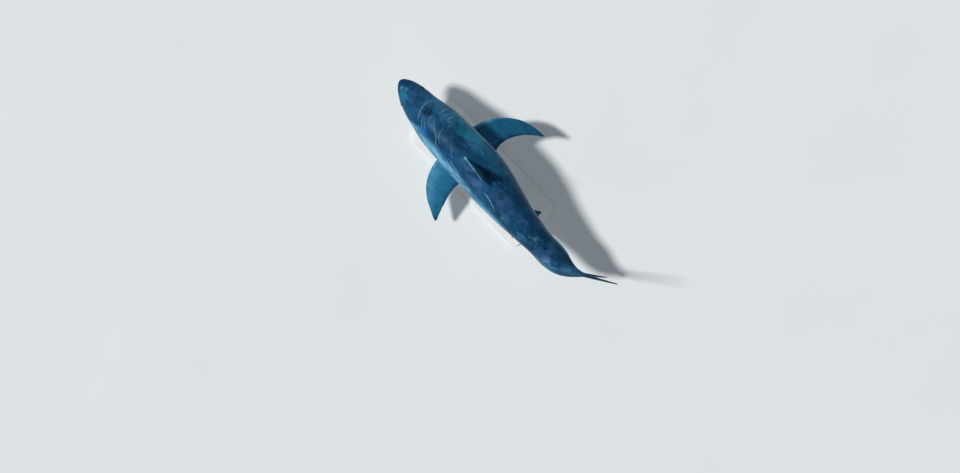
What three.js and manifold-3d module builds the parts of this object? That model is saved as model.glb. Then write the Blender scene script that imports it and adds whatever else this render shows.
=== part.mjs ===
// Great white shark, a still life-size model on a plain display stand.
// Millimetres, +Z up. The snout points along -Y and the shark's left side is +X.
// The origin is on the floor, at the centre of the model's bounding box.
//
// Every part of the animal is drawn on a straight shark first: "share" runs from 0 at the snout
// tip to 1 at the upper tail tip, "left" and "up" are offsets from the spine. place() then bends
// that straight shark along the swimming spine, rolls it and lifts it off the floor.

import * as THREE from "three";
import { mergeVertices } from "three/addons/utils/BufferGeometryUtils.js";
import Module from "manifold-3d";

const wasm = await Module();
wasm.setup();

// ---------------------------------------------------------------- driving dimensions

const LENGTH = 4000; // snout tip to upper tail tip, along the spine
const SPINE_HEIGHT = 800; // spine above the floor
const CUT = 0.6; // width of the thin cuts that part the body
const CLEARANCE = 0.4; // gap between a piece and what it is set against

// Heading of the spine in degrees, positive towards the shark's right, against share of length.
const BENDS = [
  [0, -6], [0.09, -6], [0.15, 0], [0.37, 0], [0.45, -6], [0.52, -6],
  [0.62, -2.5], [0.72, 0], [0.79, 3], [0.85, 22], [0.89, 34], [1, 36],
];
// Roll of the body in degrees, left side down, against share of length.
const ROLLS = [[0, 5.5], [0.3, 6.5], [0.6, 6.5], [0.85, 3], [1, 2.5]];

// Form of the body: share, half width, back and belly, all as shares of the length.
const FORM = [
  [0, 0, 0, 0], // snout tip
  [0.012, 0.0195, 0.0145, -0.0125],
  [0.03, 0.032, 0.0235, -0.02], // nostrils
  [0.05, 0.041, 0.032, -0.0265], // front of the mouth
  [0.085, 0.0515, 0.0445, -0.0325],
  [0.118, 0.0588, 0.0545, -0.04], // corners of the mouth
  [0.135, 0.0622, 0.059, -0.061],
  [0.15, 0.0655, 0.0625, -0.0755], // throat
  [0.19, 0.074, 0.0725, -0.087], // first gill slit
  [0.27, 0.0795, 0.0865, -0.099], // front of the pectoral fins
  [0.38, 0.0815, 0.095, -0.103], // first dorsal fin
  [0.45, 0.0795, 0.0915, -0.099],
  [0.52, 0.071, 0.082, -0.0875],
  [0.6, 0.0585, 0.066, -0.0695], // pelvic fins
  [0.7, 0.0455, 0.0465, -0.0475], // second dorsal fin
  [0.79, 0.0305, 0.0305, -0.0305],
  [0.85, 0.0165, 0.0225, -0.0215], // end of the tail stalk
  [0.895, 0.006, 0.014, -0.013],
];
const UPPER_FULLNESS = 2.05; // superellipse exponents of the section, 2 is an ellipse
const LOWER_FULLNESS = [[0, 2], [0.03, 2.2], [0.07, 3.6], [0.118, 3.8], [0.15, 2.5], [0.3, 2.15], [0.9, 2]];
const KEEL = { start: 0.69, peak: 0.79, end: 0.885, reach: 0.0125, half_height: 0.009 };

// Lower jaw: share, half width, upper and lower face.
const JAW = [
  [0.0595, 0.006, -0.0482, -0.0505],
  [0.063, 0.0145, -0.0476, -0.0545],
  [0.07, 0.0215, -0.0464, -0.058],
  [0.085, 0.0332, -0.0438, -0.0625],
  [0.118, 0.0482, -0.0378, -0.0702],
  [0.15, 0.058, -0.03, -0.0762],
];
const JAW_FULLNESS = 2.5; // superellipse exponent of its section
const JAW_CROWN = 1.5; // rise of its upper face at the middle
const JAW_STEPS = 9;
const MOUTH_CAVITY = {
  share: 0.094, up: -0.0405, half_length: 0.03, half_width: 0.0315, half_height: 0.0135,
};
// Gum arches, seen from above: where the front and the corners lie, how square the curve is, the
// gum's radius, and how fast its outer side turns from forward to sideways.
const UPPER_ARCH = { front: 0.0555, corner: 0.117, half_width: 0.0395, curl: 2.3, gum: 9, turn: 1.8 };
const LOWER_ARCH = { front: 0.0655, corner: 0.118, half_width: 0.037, curl: 2.1, gum: 8, turn: 1.8 };
// Teeth of each side: the largest is at the front, "last" is how far along the arch they reach.
const UPPER_TEETH = { pairs: 10, last: 0.9, tall: 33, wide: 27, thick: 6, lean: -0.15, shrink: 0.68 };
const LOWER_TEETH = { pairs: 9, last: 0.88, tall: 30, wide: 20, thick: 6, lean: -0.1, shrink: 0.68 };
const GUM_STEPS = 12; // lengths that a gum is drawn in, from corner to corner
const GUM_SIDES = 6;

const EYE = { share: 0.0675, up: 0.006, radius: 27, sunk: 21 };
// Gill slits: places of the first and last, then the angles on the section that each runs between.
const GILLS = { first: 0.19, last: 0.247, count: 5, low: -0.7, high: 0.38, width: 11, depth: 14, bow: 0.012 };

// The lengths of the body, snout to tail: where each starts and ends, and in how many rings.
const BODY_LENGTHS = {
  head: { from: 0, to: 0.15, rings: 14 },
  gill_region: { from: 0.15, to: 0.262, rings: 5 },
  trunk: { from: 0.262, to: 0.475, rings: 6 },
  rear_trunk: { from: 0.475, to: 0.68, rings: 5 },
  tail_stalk: { from: 0.68, to: 0.895, rings: 11 },
};

// Fins. The outlines are cubic curves in the fin's own plane, in shares of the length: the first
// number runs back from the fin's origin, the second runs out along its span. The inner margin
// runs from the rear of the base to the free rear tip. "half_thick" is at the base and at the tip.
const FINS = {
  first_dorsal_fin: {
    origin: 0.328, lead: [[-0.008, -0.014], [0.035, 0.03], [0.075, 0.085], [0.108, 0.103]],
    inner: [[0.103, -0.014], [0.136, 0.012]], rear: [[0.1, 0.017], [0.103, 0.07], [0.118, 0.101]],
    half_thick: [0.0064, 0.0012], inner_share: 0.16,
  },
  second_dorsal_fin: {
    origin: 0.708, lead: [[-0.002, -0.006], [0.006, 0.004], [0.012, 0.014], [0.019, 0.0175]],
    inner: [[0.015, -0.006], [0.0285, 0.0055]], rear: [[0.019, 0.006], [0.0185, 0.012], [0.021, 0.017]],
    half_thick: [0.0014, 0.0005], inner_share: 0.25,
  },
  anal_fin: {
    origin: 0.728, lead: [[-0.002, -0.006], [0.006, 0.004], [0.012, 0.014], [0.019, 0.0175]],
    inner: [[0.015, -0.006], [0.0275, 0.0055]], rear: [[0.019, 0.006], [0.0185, 0.012], [0.021, 0.017]],
    half_thick: [0.0014, 0.0005], inner_share: 0.25,
  },
  pectoral_fin: {
    origin: 0.2705, lead: [[0, -0.03], [0.001, 0.056], [0.041, 0.147], [0.167, 0.176]],
    inner: [[0.105, -0.03], [0.116, 0.014]], rear: [[0.094, 0.05], [0.126, 0.127], [0.1695, 0.1745]],
    half_thick: [0.0075, 0.0012], inner_share: 0.2,
  },
  pelvic_fin: {
    origin: 0.588, lead: [[0, -0.012], [0.012, 0.014], [0.028, 0.038], [0.047, 0.046]],
    inner: [[0.04, -0.012], [0.066, 0.017]], rear: [[0.049, 0.02], [0.047, 0.034], [0.05, 0.0455]],
    half_thick: [0.0028, 0.0007], inner_share: 0.3,
  },
  caudal_upper_lobe: {
    origin: 0.85, lead: [[0, 0.0001], [0.035, 0.03], [0.088, 0.09], [0.145, 0.15]],
    inner: [[0.057, 0.0001], [0.055, 0.006]], rear: [[0.068, 0.04], [0.112, 0.08], [0.146, 0.1485]],
    half_thick: [0.0082, 0.0018], inner_share: 0.08,
  },
  caudal_lower_lobe: {
    origin: 0.85, lead: [[0, 0.0001], [0.03, 0.03], [0.08, 0.078], [0.127, 0.132]],
    inner: [[0.057, 0.0001], [0.055, 0.006]], rear: [[0.064, 0.034], [0.1, 0.072], [0.128, 0.131]],
    half_thick: [0.0082, 0.0018], inner_share: 0.08,
  },
};
// Base of the paired fins on the body section: left and up, and how far the blade droops.
const PECTORAL_BASE = { left: 0.062, up: -0.056, droop: THREE.MathUtils.degToRad(17) };
const LEFT_PECTORAL_BASE = { ...PECTORAL_BASE, droop: THREE.MathUtils.degToRad(12) };
// The left pectoral fin is held further forward than the right one.
const LEFT_PECTORAL = {
  ...FINS.pectoral_fin,
  lead: [[0, -0.03], [-0.008, 0.062], [0.022, 0.152], [0.16, 0.178]],
  rear: [[0.094, 0.05], [0.126, 0.127], [0.1705, 0.1735]],
};
const PELVIC_BASE = { left: 0.031, up: -0.052, droop: THREE.MathUtils.degToRad(42) };

const STAND = {
  rods: [0.275, 0.535], rod_radius: 30, flange_radius: 95, flange_height: 14,
  cup_radius: 105, cup_below: 26, cup_above: 60, sides: 20,
  base_length: 2100, base_width: 800, base_height: 40, base_corner: 120, base_bevel: 4,
};

// How finely the shapes are faceted.
const AROUND_BODY = 26;
const AROUND_JAW = 14;
const AROUND_FIN = 10;
const ALONG_FIN = 10;

// ---------------------------------------------------------------- curves and placing

// A smooth curve through [x, y] rows that doesn't overshoot them (monotone cubic).
function through(rows) {
  const x = rows.map((row) => row[0]);
  const y = rows.map((row) => row[1]);
  const rise = x.slice(1).map((next, i) => (y[i + 1] - y[i]) / (next - x[i]));
  const slope = x.map((_, i) => {
    if (i === 0) return rise[0];
    if (i === x.length - 1) return rise[i - 1];
    if (rise[i - 1] * rise[i] <= 0) return 0;
    return (2 * rise[i - 1] * rise[i]) / (rise[i - 1] + rise[i]);
  });
  return (at) => {
    const inside = Math.min(Math.max(at, x[0]), x[x.length - 1]);
    let i = 0;
    while (i < x.length - 2 && inside > x[i + 1]) i += 1;
    const step = x[i + 1] - x[i];
    const s = (inside - x[i]) / step;
    const a = y[i] * (1 + 2 * s) * (1 - s) ** 2 + slope[i] * step * s * (1 - s) ** 2;
    const b = y[i + 1] * s * s * (3 - 2 * s) + slope[i + 1] * step * s * s * (s - 1);
    return a + b;
  };
}

// One column of a table whose first column is the share. Read against the square root of the
// share, a column that grows from nothing at the snout tip gives a round nose.
function column(table, index) {
  const curve = through(table.map((row) => [Math.sqrt(row[0]), row[index] * LENGTH]));
  return (share) => curve(Math.sqrt(Math.max(share, 0)));
}

const halfWidth = column(FORM, 1);
const back = column(FORM, 2);
const belly = column(FORM, 3);
const lowerFullness = through(LOWER_FULLNESS);
const heading = through(BENDS);
const roll = through(ROLLS);

// The spine on the floor plan, as points at even shares of the length.
const SPINE_STEPS = 500;
const spine = [new THREE.Vector2(0, 0)];
for (let i = 1; i <= SPINE_STEPS; i += 1) {
  const angle = THREE.MathUtils.degToRad(heading((i - 0.5) / SPINE_STEPS));
  const step = new THREE.Vector2(-Math.sin(angle), Math.cos(angle)).multiplyScalar(LENGTH / SPINE_STEPS);
  spine.push(spine[i - 1].clone().add(step));
}

// A point of the straight shark, bent along the spine, banked and lifted.
function place(share, left, up) {
  const at = share * SPINE_STEPS;
  const i = Math.min(Math.max(Math.floor(at), 0), SPINE_STEPS - 1);
  const on = spine[i].clone().lerp(spine[i + 1], at - i);
  const angle = THREE.MathUtils.degToRad(heading(share));
  const bank = THREE.MathUtils.degToRad(roll(share));
  const side = left * Math.cos(bank) + up * Math.sin(bank);
  const height = up * Math.cos(bank) - left * Math.sin(bank);
  const [x, y] = [on.x + side * Math.cos(angle), on.y + side * Math.sin(angle)];
  return new THREE.Vector3(x, y, SPINE_HEIGHT + height);
}

// How far the caudal keel stands out of the side of the tail stalk.
function keelReach(share) {
  const half = share < KEEL.peak ? KEEL.peak - KEEL.start : KEEL.end - KEEL.peak;
  const from = Math.min(Math.abs(share - KEEL.peak) / half, 1);
  return KEEL.reach * LENGTH * (1 - from * from) ** 2;
}

// A point on the body's section: angle 0 is the left side, 90 degrees the back.
function section(share, angle, grow = 0) {
  const across = Math.cos(angle);
  const along = Math.sin(angle);
  const power = 2 / (along >= 0 ? UPPER_FULLNESS : lowerFullness(share));
  const reach = along >= 0 ? back(share) + grow : grow - belly(share);
  const up = Math.sign(along) * reach * Math.abs(along) ** power;
  const keel = keelReach(share) * Math.exp(-((up / (KEEL.half_height * LENGTH)) ** 2));
  const left = Math.sign(across) * ((halfWidth(share) + grow) * Math.abs(across) ** power + keel);
  return { left, up };
}

// ---------------------------------------------------------------- meshes and solids

// A closed surface through rings of points, with a fan over each end.
function loft(rings) {
  const count = rings[0].length;
  const points = rings.flat();
  const middle = (ring) => ring.reduce((sum, p) => sum.add(p), new THREE.Vector3()).divideScalar(count);
  const first = points.push(middle(rings[0])) - 1;
  const last = points.push(middle(rings[rings.length - 1])) - 1;
  const faces = [];
  for (let j = 0; j < count; j += 1) {
    const next = (j + 1) % count;
    faces.push(first, next, j);
    const end = (rings.length - 1) * count;
    faces.push(last, end + j, end + next);
    for (let i = 0; i < rings.length - 1; i += 1) {
      const here = i * count;
      const there = here + count;
      faces.push(here + j, here + next, there + j);
      faces.push(here + next, there + next, there + j);
    }
  }
  return facingOut(new THREE.BufferGeometry().setFromPoints(points).setIndex(faces));
}

// Turns a surface right side out.
function facingOut(geometry) {
  const position = geometry.getAttribute("position");
  const index = geometry.getIndex().array;
  const corner = (i) => new THREE.Vector3().fromBufferAttribute(position, index[i]);
  let volume = 0;
  for (let i = 0; i < index.length; i += 3) volume += corner(i).dot(corner(i + 1).cross(corner(i + 2)));
  if (volume >= 0) return geometry;
  const turned = [];
  for (let i = 0; i < index.length; i += 3) turned.push(index[i], index[i + 2], index[i + 1]);
  return geometry.setIndex(turned);
}

// A three.js geometry as a manifold-3d solid.
function solid(geometry) {
  const bare = geometry.clone();
  bare.deleteAttribute("normal");
  bare.deleteAttribute("uv");
  const merged = mergeVertices(bare, 1e-3);
  return new wasm.Manifold(new wasm.Mesh({
    numProp: 3,
    vertProperties: new Float32Array(merged.getAttribute("position").array),
    triVerts: new Uint32Array(merged.getIndex().array),
  }));
}

// The largest piece of a manifold-3d solid, as a three.js geometry.
function geometryOf(made) {
  const pieces = made.decompose().sort((a, b) => b.volume() - a.volume());
  const mesh = pieces[0].getMesh();
  return new THREE.BufferGeometry()
    .setAttribute("position", new THREE.BufferAttribute(mesh.vertProperties, 3))
    .setIndex(new THREE.BufferAttribute(mesh.triVerts, 1));
}

function bodyRing(share, grow) {
  const ring = [];
  for (let j = 0; j < AROUND_BODY; j += 1) {
    const { left, up } = section(share, (j / AROUND_BODY) * 2 * Math.PI, grow);
    ring.push(place(share, left, up));
  }
  return ring;
}

// The shares of a length's rings, which are closer together towards the snout.
function ringShares({ from, to, rings }) {
  const shares = [];
  for (let i = 0; i <= rings; i += 1) {
    shares.push(THREE.MathUtils.lerp(Math.sqrt(from), Math.sqrt(to), i / rings) ** 2);
  }
  return shares;
}

// The half thickness of a fin's blade across its chord, from a round leading edge to a thin
// trailing one, as a share of the thickest place.
function bladeProfile(chord) {
  return 2.1 * Math.sqrt(chord) * (1 - chord) ** 0.85 + 0.03;
}

function cubic(points, at) {
  const curve = new THREE.CubicBezierCurve(...points.map(([x, y]) => new THREE.Vector2(x, y)));
  return curve.getPoint(at);
}

// A fin's blade: rings from the leading to the trailing edge, stacked from base to tip. "set"
// turns a point of the blade, back, out and off its plane in millimetres, into a place.
function finBlade(fin, set) {
  const [baseRear, freeTip] = fin.inner.map(([x, y]) => new THREE.Vector2(x, y));
  const rearEdge = [fin.inner[1], ...fin.rear];
  const rings = [];
  for (let i = 0; i <= ALONG_FIN; i += 1) {
    const span = i / ALONG_FIN;
    const lead = cubic(fin.lead, span);
    const beyond = (span - fin.inner_share) / (1 - fin.inner_share);
    const trail = beyond < 0 ? baseRear.clone().lerp(freeTip, 1 + beyond * (1 / fin.inner_share - 1))
      : cubic(rearEdge, beyond);
    const thick = THREE.MathUtils.lerp(fin.half_thick[0], fin.half_thick[1], span) * LENGTH;
    const ring = [];
    for (let j = 0; j < AROUND_FIN; j += 1) {
      const turn = ((j + 0.5) / AROUND_FIN) * 2 * Math.PI;
      const chord = (1 - Math.cos(turn)) / 2;
      const at = lead.clone().lerp(trail, chord);
      const off = Math.sign(Math.sin(turn)) * thick * bladeProfile(chord);
      ring.push(set(at.x * LENGTH, at.y * LENGTH, off));
    }
    rings.push(ring);
  }
  return solid(loft(rings));
}

// ---------------------------------------------------------------- the animal

// The whole body, grown by the clearance, which the other pieces are cut back from.
function grownBody() {
  const shares = Object.values(BODY_LENGTHS).flatMap((part) => ringShares(part).slice(part.from > 0 ? 1 : 0));
  return solid(loft(shares.map((share) => bodyRing(share, CLEARANCE))));
}

const wholeBody = grownBody();

// The body in its lengths, with a thin cut between each and the next.
function bodySegments() {
  const half = CUT / 2 / LENGTH;
  const made = {};
  for (const [name, part] of Object.entries(BODY_LENGTHS)) {
    const shares = ringShares(part);
    if (part.from > 0) shares[0] += half;
    shares[shares.length - 1] -= half;
    made[name] = solid(loft(shares.map((share) => bodyRing(share, 0))));
  }
  return made;
}

// The lower jaw: a shallow boat with a nearly flat upper face, ringed more closely at its tip.
function lowerJaw(grow = 0) {
  const [halfJaw, upper, lower] = [1, 2, 3].map((i) => column(JAW, i));
  const power = 2 / JAW_FULLNESS;
  const rings = [];
  const [from, to] = [JAW[0][0], JAW[JAW.length - 1][0] - CUT / 2 / LENGTH];
  for (let i = 0; i <= JAW_STEPS; i += 1) {
    const share = from + (to - from) * (i / JAW_STEPS) ** 1.6;
    const ring = [];
    for (let j = 0; j < AROUND_JAW; j += 1) {
      const angle = (j / AROUND_JAW) * 2 * Math.PI;
      const across = Math.sign(Math.cos(angle)) * Math.abs(Math.cos(angle)) ** power;
      const drop = Math.max(-Math.sin(angle), 0) ** power;
      const crown = Math.max(Math.sin(angle), 0) * JAW_CROWN;
      const up = upper(share) + crown + grow - drop * (upper(share) - lower(share) + 2 * grow);
      ring.push(place(share, across * (halfJaw(share) + grow), up));
    }
    rings.push(ring);
  }
  return solid(loft(rings));
}

// The hollow of the mouth, an egg that reaches into the head above the lower jaw.
function mouthCavity() {
  const ball = new THREE.SphereGeometry(1, 14, 8);
  const position = ball.getAttribute("position");
  for (let i = 0; i < position.count; i += 1) {
    const p = place(
      MOUTH_CAVITY.share + position.getY(i) * MOUTH_CAVITY.half_length,
      position.getX(i) * MOUTH_CAVITY.half_width * LENGTH,
      (MOUTH_CAVITY.up + position.getZ(i) * MOUTH_CAVITY.half_height) * LENGTH,
    );
    position.setXYZ(i, p.x, p.y, p.z);
  }
  return solid(ball);
}

// The centre of a gum arch: "along" runs from -1 at the right corner to 1 at the left one.
function archPoint(arch, height, along, rise = 0) {
  const share = arch.front + (arch.corner - arch.front) * Math.abs(along) ** arch.curl;
  return { share, left: along * arch.half_width * LENGTH, up: height(share) + rise };
}

// Where the teeth of one side stand, from the middle out, evenly spaced over the gum's length.
function toothPlaces(arch, teeth, height) {
  const samples = 100;
  const lengths = [0];
  for (let i = 1; i <= samples; i += 1) {
    const before = archPoint(arch, height, ((i - 1) / samples) * teeth.last);
    const at = archPoint(arch, height, (i / samples) * teeth.last);
    lengths.push(lengths[i - 1] + Math.hypot((at.share - before.share) * LENGTH, at.left - before.left));
  }
  const alongAt = through(lengths.map((length, i) => [length, (i / samples) * teeth.last]));
  return Array.from({ length: teeth.pairs }, (_, k) => alongAt(((k + 0.5) / teeth.pairs) * lengths[samples]));
}

// A gum with its teeth. "way" is -1 for the upper teeth, which point down, and 1 for the lower.
function gum(arch, teeth, height, way) {
  const rings = [];
  for (let i = 0; i <= GUM_STEPS; i += 1) {
    const along = (2 * i) / GUM_STEPS - 1;
    const fade = Math.sqrt(Math.max(1 - along ** 6, 0.08)); // thins to the corners of the mouth
    const at = archPoint(arch, height, along);
    const ring = [];
    for (let j = 0; j < GUM_SIDES; j += 1) {
      const turn = ((j + 0.5) / GUM_SIDES) * 2 * Math.PI;
      const out = Math.cos(turn) * arch.gum * fade;
      const lean = Math.atan(along * arch.turn);
      ring.push(place(
        at.share - (out * Math.cos(lean)) / LENGTH,
        at.left + out * Math.sin(lean),
        at.up + Math.sin(turn) * arch.gum * fade,
      ));
    }
    rings.push(ring);
  }
  let made = solid(loft(rings));
  toothPlaces(arch, teeth, height).forEach((along, k) => {
    const size = 1 - teeth.shrink * (k / teeth.pairs) ** 1.4;
    for (const side of [1, -1]) made = made.add(tooth(arch, teeth, height, way, side * along, size));
  });
  return made;
}

// One triangular tooth: a flat three-sided blade that tapers to its tip.
function tooth(arch, teeth, height, way, along, size) {
  const step = 0.01;
  const before = archPoint(arch, height, along - step);
  const after = archPoint(arch, height, along + step);
  const run = new THREE.Vector2((after.share - before.share) * LENGTH, after.left - before.left).normalize();
  const at = archPoint(arch, height, along);
  const corner = (wide, thick, tall) => place(
    at.share + (run.x * wide + run.y * (thick - teeth.lean * tall)) / LENGTH,
    at.left + run.y * wide - run.x * (thick - teeth.lean * tall),
    at.up + way * tall,
  );
  const level = (share, tall) => {
    const wide = (teeth.wide / 2) * size * share;
    const thick = (teeth.thick / 2) * size * (0.35 + 0.65 * share);
    return [corner(-wide, -thick, tall), corner(wide, -thick, tall), corner(0, thick, tall)];
  };
  const tall = arch.gum * 0.6 + teeth.tall * size;
  return solid(loft([level(1, 0), level(0.66, tall * 0.55), level(0.06, tall)]));
}

function eyeBall(side, grow = 0) {
  const { left } = section(EYE.share, Math.asin((EYE.up * LENGTH) / back(EYE.share)));
  const centre = place(EYE.share, side * (left - EYE.sunk), EYE.up * LENGTH);
  const ball = new THREE.SphereGeometry(EYE.radius + grow, 12, 8);
  return solid(ball.rotateX(Math.PI / 2).translate(centre.x, centre.y, centre.z));
}

// The cutter for one gill slit: a thin wedge that follows the side of the body and bows forward.
function gillCutter(number, side) {
  const share = THREE.MathUtils.lerp(GILLS.first, GILLS.last, number / (GILLS.count - 1));
  const steps = 4;
  const proud = 6;
  const rings = [];
  for (let i = 0; i <= steps; i += 1) {
    const part = i / steps;
    const angle = THREE.MathUtils.lerp(GILLS.low, GILLS.high, part);
    const swell = Math.sin(Math.PI * part);
    const half = (GILLS.width / 2) * (0.15 + 0.85 * swell);
    const corner = (along, out) => {
      const bowed = share - GILLS.bow * swell;
      const at = section(bowed, angle, out);
      return place(bowed + along / LENGTH, side * at.left, at.up);
    };
    rings.push([corner(-half, proud), corner(half, proud), corner(0, -GILLS.depth)]);
  }
  return solid(loft(rings));
}

// Sets a fin's blade on the midline, standing up (way 1) or hanging down (way -1) from a surface.
function medianFin(name, surface, way) {
  const fin = FINS[name];
  return finBlade(fin, (behind, out, off) => {
    const share = fin.origin + behind / LENGTH;
    return place(share, off, surface(share) + way * out);
  });
}

// Sets a fin's blade on one side, side 1 being the left, with its plane drooping outwards.
function pairedFin(fin, base, side) {
  return finBlade(fin, (behind, out, off) => place(
    fin.origin + behind / LENGTH,
    side * (base.left * LENGTH + out * Math.cos(base.droop) + off * Math.sin(base.droop)),
    base.up * LENGTH - out * Math.sin(base.droop) + off * Math.cos(base.droop),
  ));
}

// ---------------------------------------------------------------- the stand

function upright(radius, bottom, top, at) {
  const bar = new THREE.CylinderGeometry(radius, radius, top - bottom, STAND.sides).rotateX(Math.PI / 2);
  return solid(bar.translate(at.x, at.y, (top + bottom) / 2));
}

function standBase(centre) {
  const { base_length: long, base_width: wide, base_corner: round, base_bevel: bevel } = STAND;
  const [x, y] = [wide / 2 - bevel, long / 2 - bevel];
  const outline = new THREE.Shape();
  const corners = [[x, -y, -90], [x, y, 0], [-x, y, 90], [-x, -y, 180]];
  for (const [cornerX, cornerY, start] of corners) {
    const from = THREE.MathUtils.degToRad(start);
    const middle = [cornerX - Math.sign(cornerX) * round, cornerY - Math.sign(cornerY) * round];
    outline.absarc(...middle, round, from, from + Math.PI / 2);
  }
  const depth = STAND.base_height - 2 * bevel;
  const slab = new THREE.ExtrudeGeometry(outline, {
    depth, bevelSize: bevel, bevelThickness: bevel, bevelSegments: 1, curveSegments: 5,
  });
  return solid(slab.translate(centre.x, centre.y, bevel));
}

function stand() {
  const belows = STAND.rods.map((share) => place(share, 0, belly(share)));
  const centre = belows[0].clone().lerp(belows[1], 0.5);
  const made = { stand_base: standBase(centre) };
  belows.forEach((under, i) => {
    const end = ["front", "rear"][i];
    const top = STAND.base_height + CLEARANCE;
    const cupBottom = under.z - STAND.cup_below;
    const flangeTop = top + STAND.flange_height;
    made[`stand_flange_${end}`] = upright(STAND.flange_radius, top, flangeTop, under);
    made[`stand_rod_${end}`] = upright(STAND.rod_radius, flangeTop + CLEARANCE, cupBottom - CLEARANCE, under);
    made[`stand_cup_${end}`] = upright(STAND.cup_radius, cupBottom, under.z + STAND.cup_above, under)
      .subtract(wholeBody);
  });
  return made;
}

// ---------------------------------------------------------------- materials and assembly

const finish = (color, roughness, metalness = 0) =>
  new THREE.MeshStandardMaterial({ color, roughness, metalness });
const MATERIALS = {
  skin: finish(0x2c4259, 0.45),
  gum: finish(0xb0656a, 0.35),
  eye: finish(0x0a0c10, 0.1),
  base: finish(0xd9dbdb, 0.5),
  steel: finish(0xb4b7ba, 0.35, 1),
};

const shark = new THREE.Group();

function add(name, made, material) {
  const mesh = new THREE.Mesh(geometryOf(made), material);
  mesh.name = name;
  shark.add(mesh);
}

const segments = bodySegments();
const cavity = mouthCavity();
segments.head = segments.head.subtract(cavity);
const jaw = lowerJaw().subtract(wholeBody).subtract(cavity);
for (const side of [1, -1]) {
  segments.head = segments.head.subtract(eyeBall(side, CLEARANCE));
  for (let i = 0; i < GILLS.count; i += 1) {
    segments.gill_region = segments.gill_region.subtract(gillCutter(i, side));
  }
}
for (const [name, made] of Object.entries(segments)) add(name, made, MATERIALS.skin);
add("lower_jaw", jaw, MATERIALS.skin);

const jawTop = column(JAW, 2);
const jawCutter = lowerJaw(CLEARANCE);
const upperGum = gum(UPPER_ARCH, UPPER_TEETH, belly, -1).subtract(wholeBody).subtract(jawCutter);
const lowerGum = gum(LOWER_ARCH, LOWER_TEETH, jawTop, 1).subtract(wholeBody).subtract(jawCutter);
add("upper_gum_and_teeth", upperGum, MATERIALS.gum);
add("lower_gum_and_teeth", lowerGum, MATERIALS.gum);

add("first_dorsal_fin", medianFin("first_dorsal_fin", back, 1).subtract(wholeBody), MATERIALS.skin);
add("second_dorsal_fin", medianFin("second_dorsal_fin", back, 1).subtract(wholeBody), MATERIALS.skin);
add("anal_fin", medianFin("anal_fin", belly, -1).subtract(wholeBody), MATERIALS.skin);
const onSpine = () => 0;
add("caudal_upper_lobe", medianFin("caudal_upper_lobe", onSpine, 1).subtract(wholeBody), MATERIALS.skin);
add("caudal_lower_lobe", medianFin("caudal_lower_lobe", onSpine, -1).subtract(wholeBody), MATERIALS.skin);
for (const [end, side] of [["left", 1], ["right", -1]]) {
  const [blade, base] = side > 0 ? [LEFT_PECTORAL, LEFT_PECTORAL_BASE] : [FINS.pectoral_fin, PECTORAL_BASE];
  const pectoral = pairedFin(blade, base, side).subtract(wholeBody);
  add(`pectoral_fin_${end}`, pectoral, MATERIALS.skin);
  const pelvic = pairedFin(FINS.pelvic_fin, PELVIC_BASE, side).subtract(wholeBody);
  add(`pelvic_fin_${end}`, pelvic, MATERIALS.skin);
  add(`eye_${end}`, eyeBall(side), MATERIALS.eye);
}
for (const [name, made] of Object.entries(stand())) {
  add(name, made, name === "stand_base" ? MATERIALS.base : MATERIALS.steel);
}

// Moves the origin to the centre of the bounding box on the floor.
const box = new THREE.Box3().setFromObject(shark);
shark.position.set(-(box.min.x + box.max.x) / 2, -(box.min.y + box.max.y) / 2, 0);

export default shark;
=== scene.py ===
"""Looks of the great white shark on its display stand.

The animal is drawn on a straight shark first, where x is left, y runs back from the snout tip
and z is up, in metres from the spine. One skin is joined, softened and cut there, and is then
bent along the swimming spine. The stand and the eyes are made where they stand.
"""

import math

import bmesh
import bpy
import numpy as np
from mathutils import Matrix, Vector
from mathutils.bvhtree import BVHTree
from mathutils.kdtree import KDTree


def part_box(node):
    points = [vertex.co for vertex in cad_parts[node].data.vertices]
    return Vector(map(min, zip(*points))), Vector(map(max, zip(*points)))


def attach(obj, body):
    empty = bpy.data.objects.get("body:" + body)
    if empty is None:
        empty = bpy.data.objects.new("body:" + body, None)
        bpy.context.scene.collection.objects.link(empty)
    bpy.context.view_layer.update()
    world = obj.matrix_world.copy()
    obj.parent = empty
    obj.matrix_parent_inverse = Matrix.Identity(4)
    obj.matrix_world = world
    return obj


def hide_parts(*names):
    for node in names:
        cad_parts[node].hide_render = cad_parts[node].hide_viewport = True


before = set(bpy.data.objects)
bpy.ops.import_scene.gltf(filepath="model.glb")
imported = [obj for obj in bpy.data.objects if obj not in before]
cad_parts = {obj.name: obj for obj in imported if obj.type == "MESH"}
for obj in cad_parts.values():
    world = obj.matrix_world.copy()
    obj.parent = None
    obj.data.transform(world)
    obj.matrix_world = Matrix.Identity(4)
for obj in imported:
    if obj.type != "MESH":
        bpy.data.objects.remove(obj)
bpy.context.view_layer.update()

# ---------------------------------------------------------------- sizes of the animal, in metres

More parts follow.
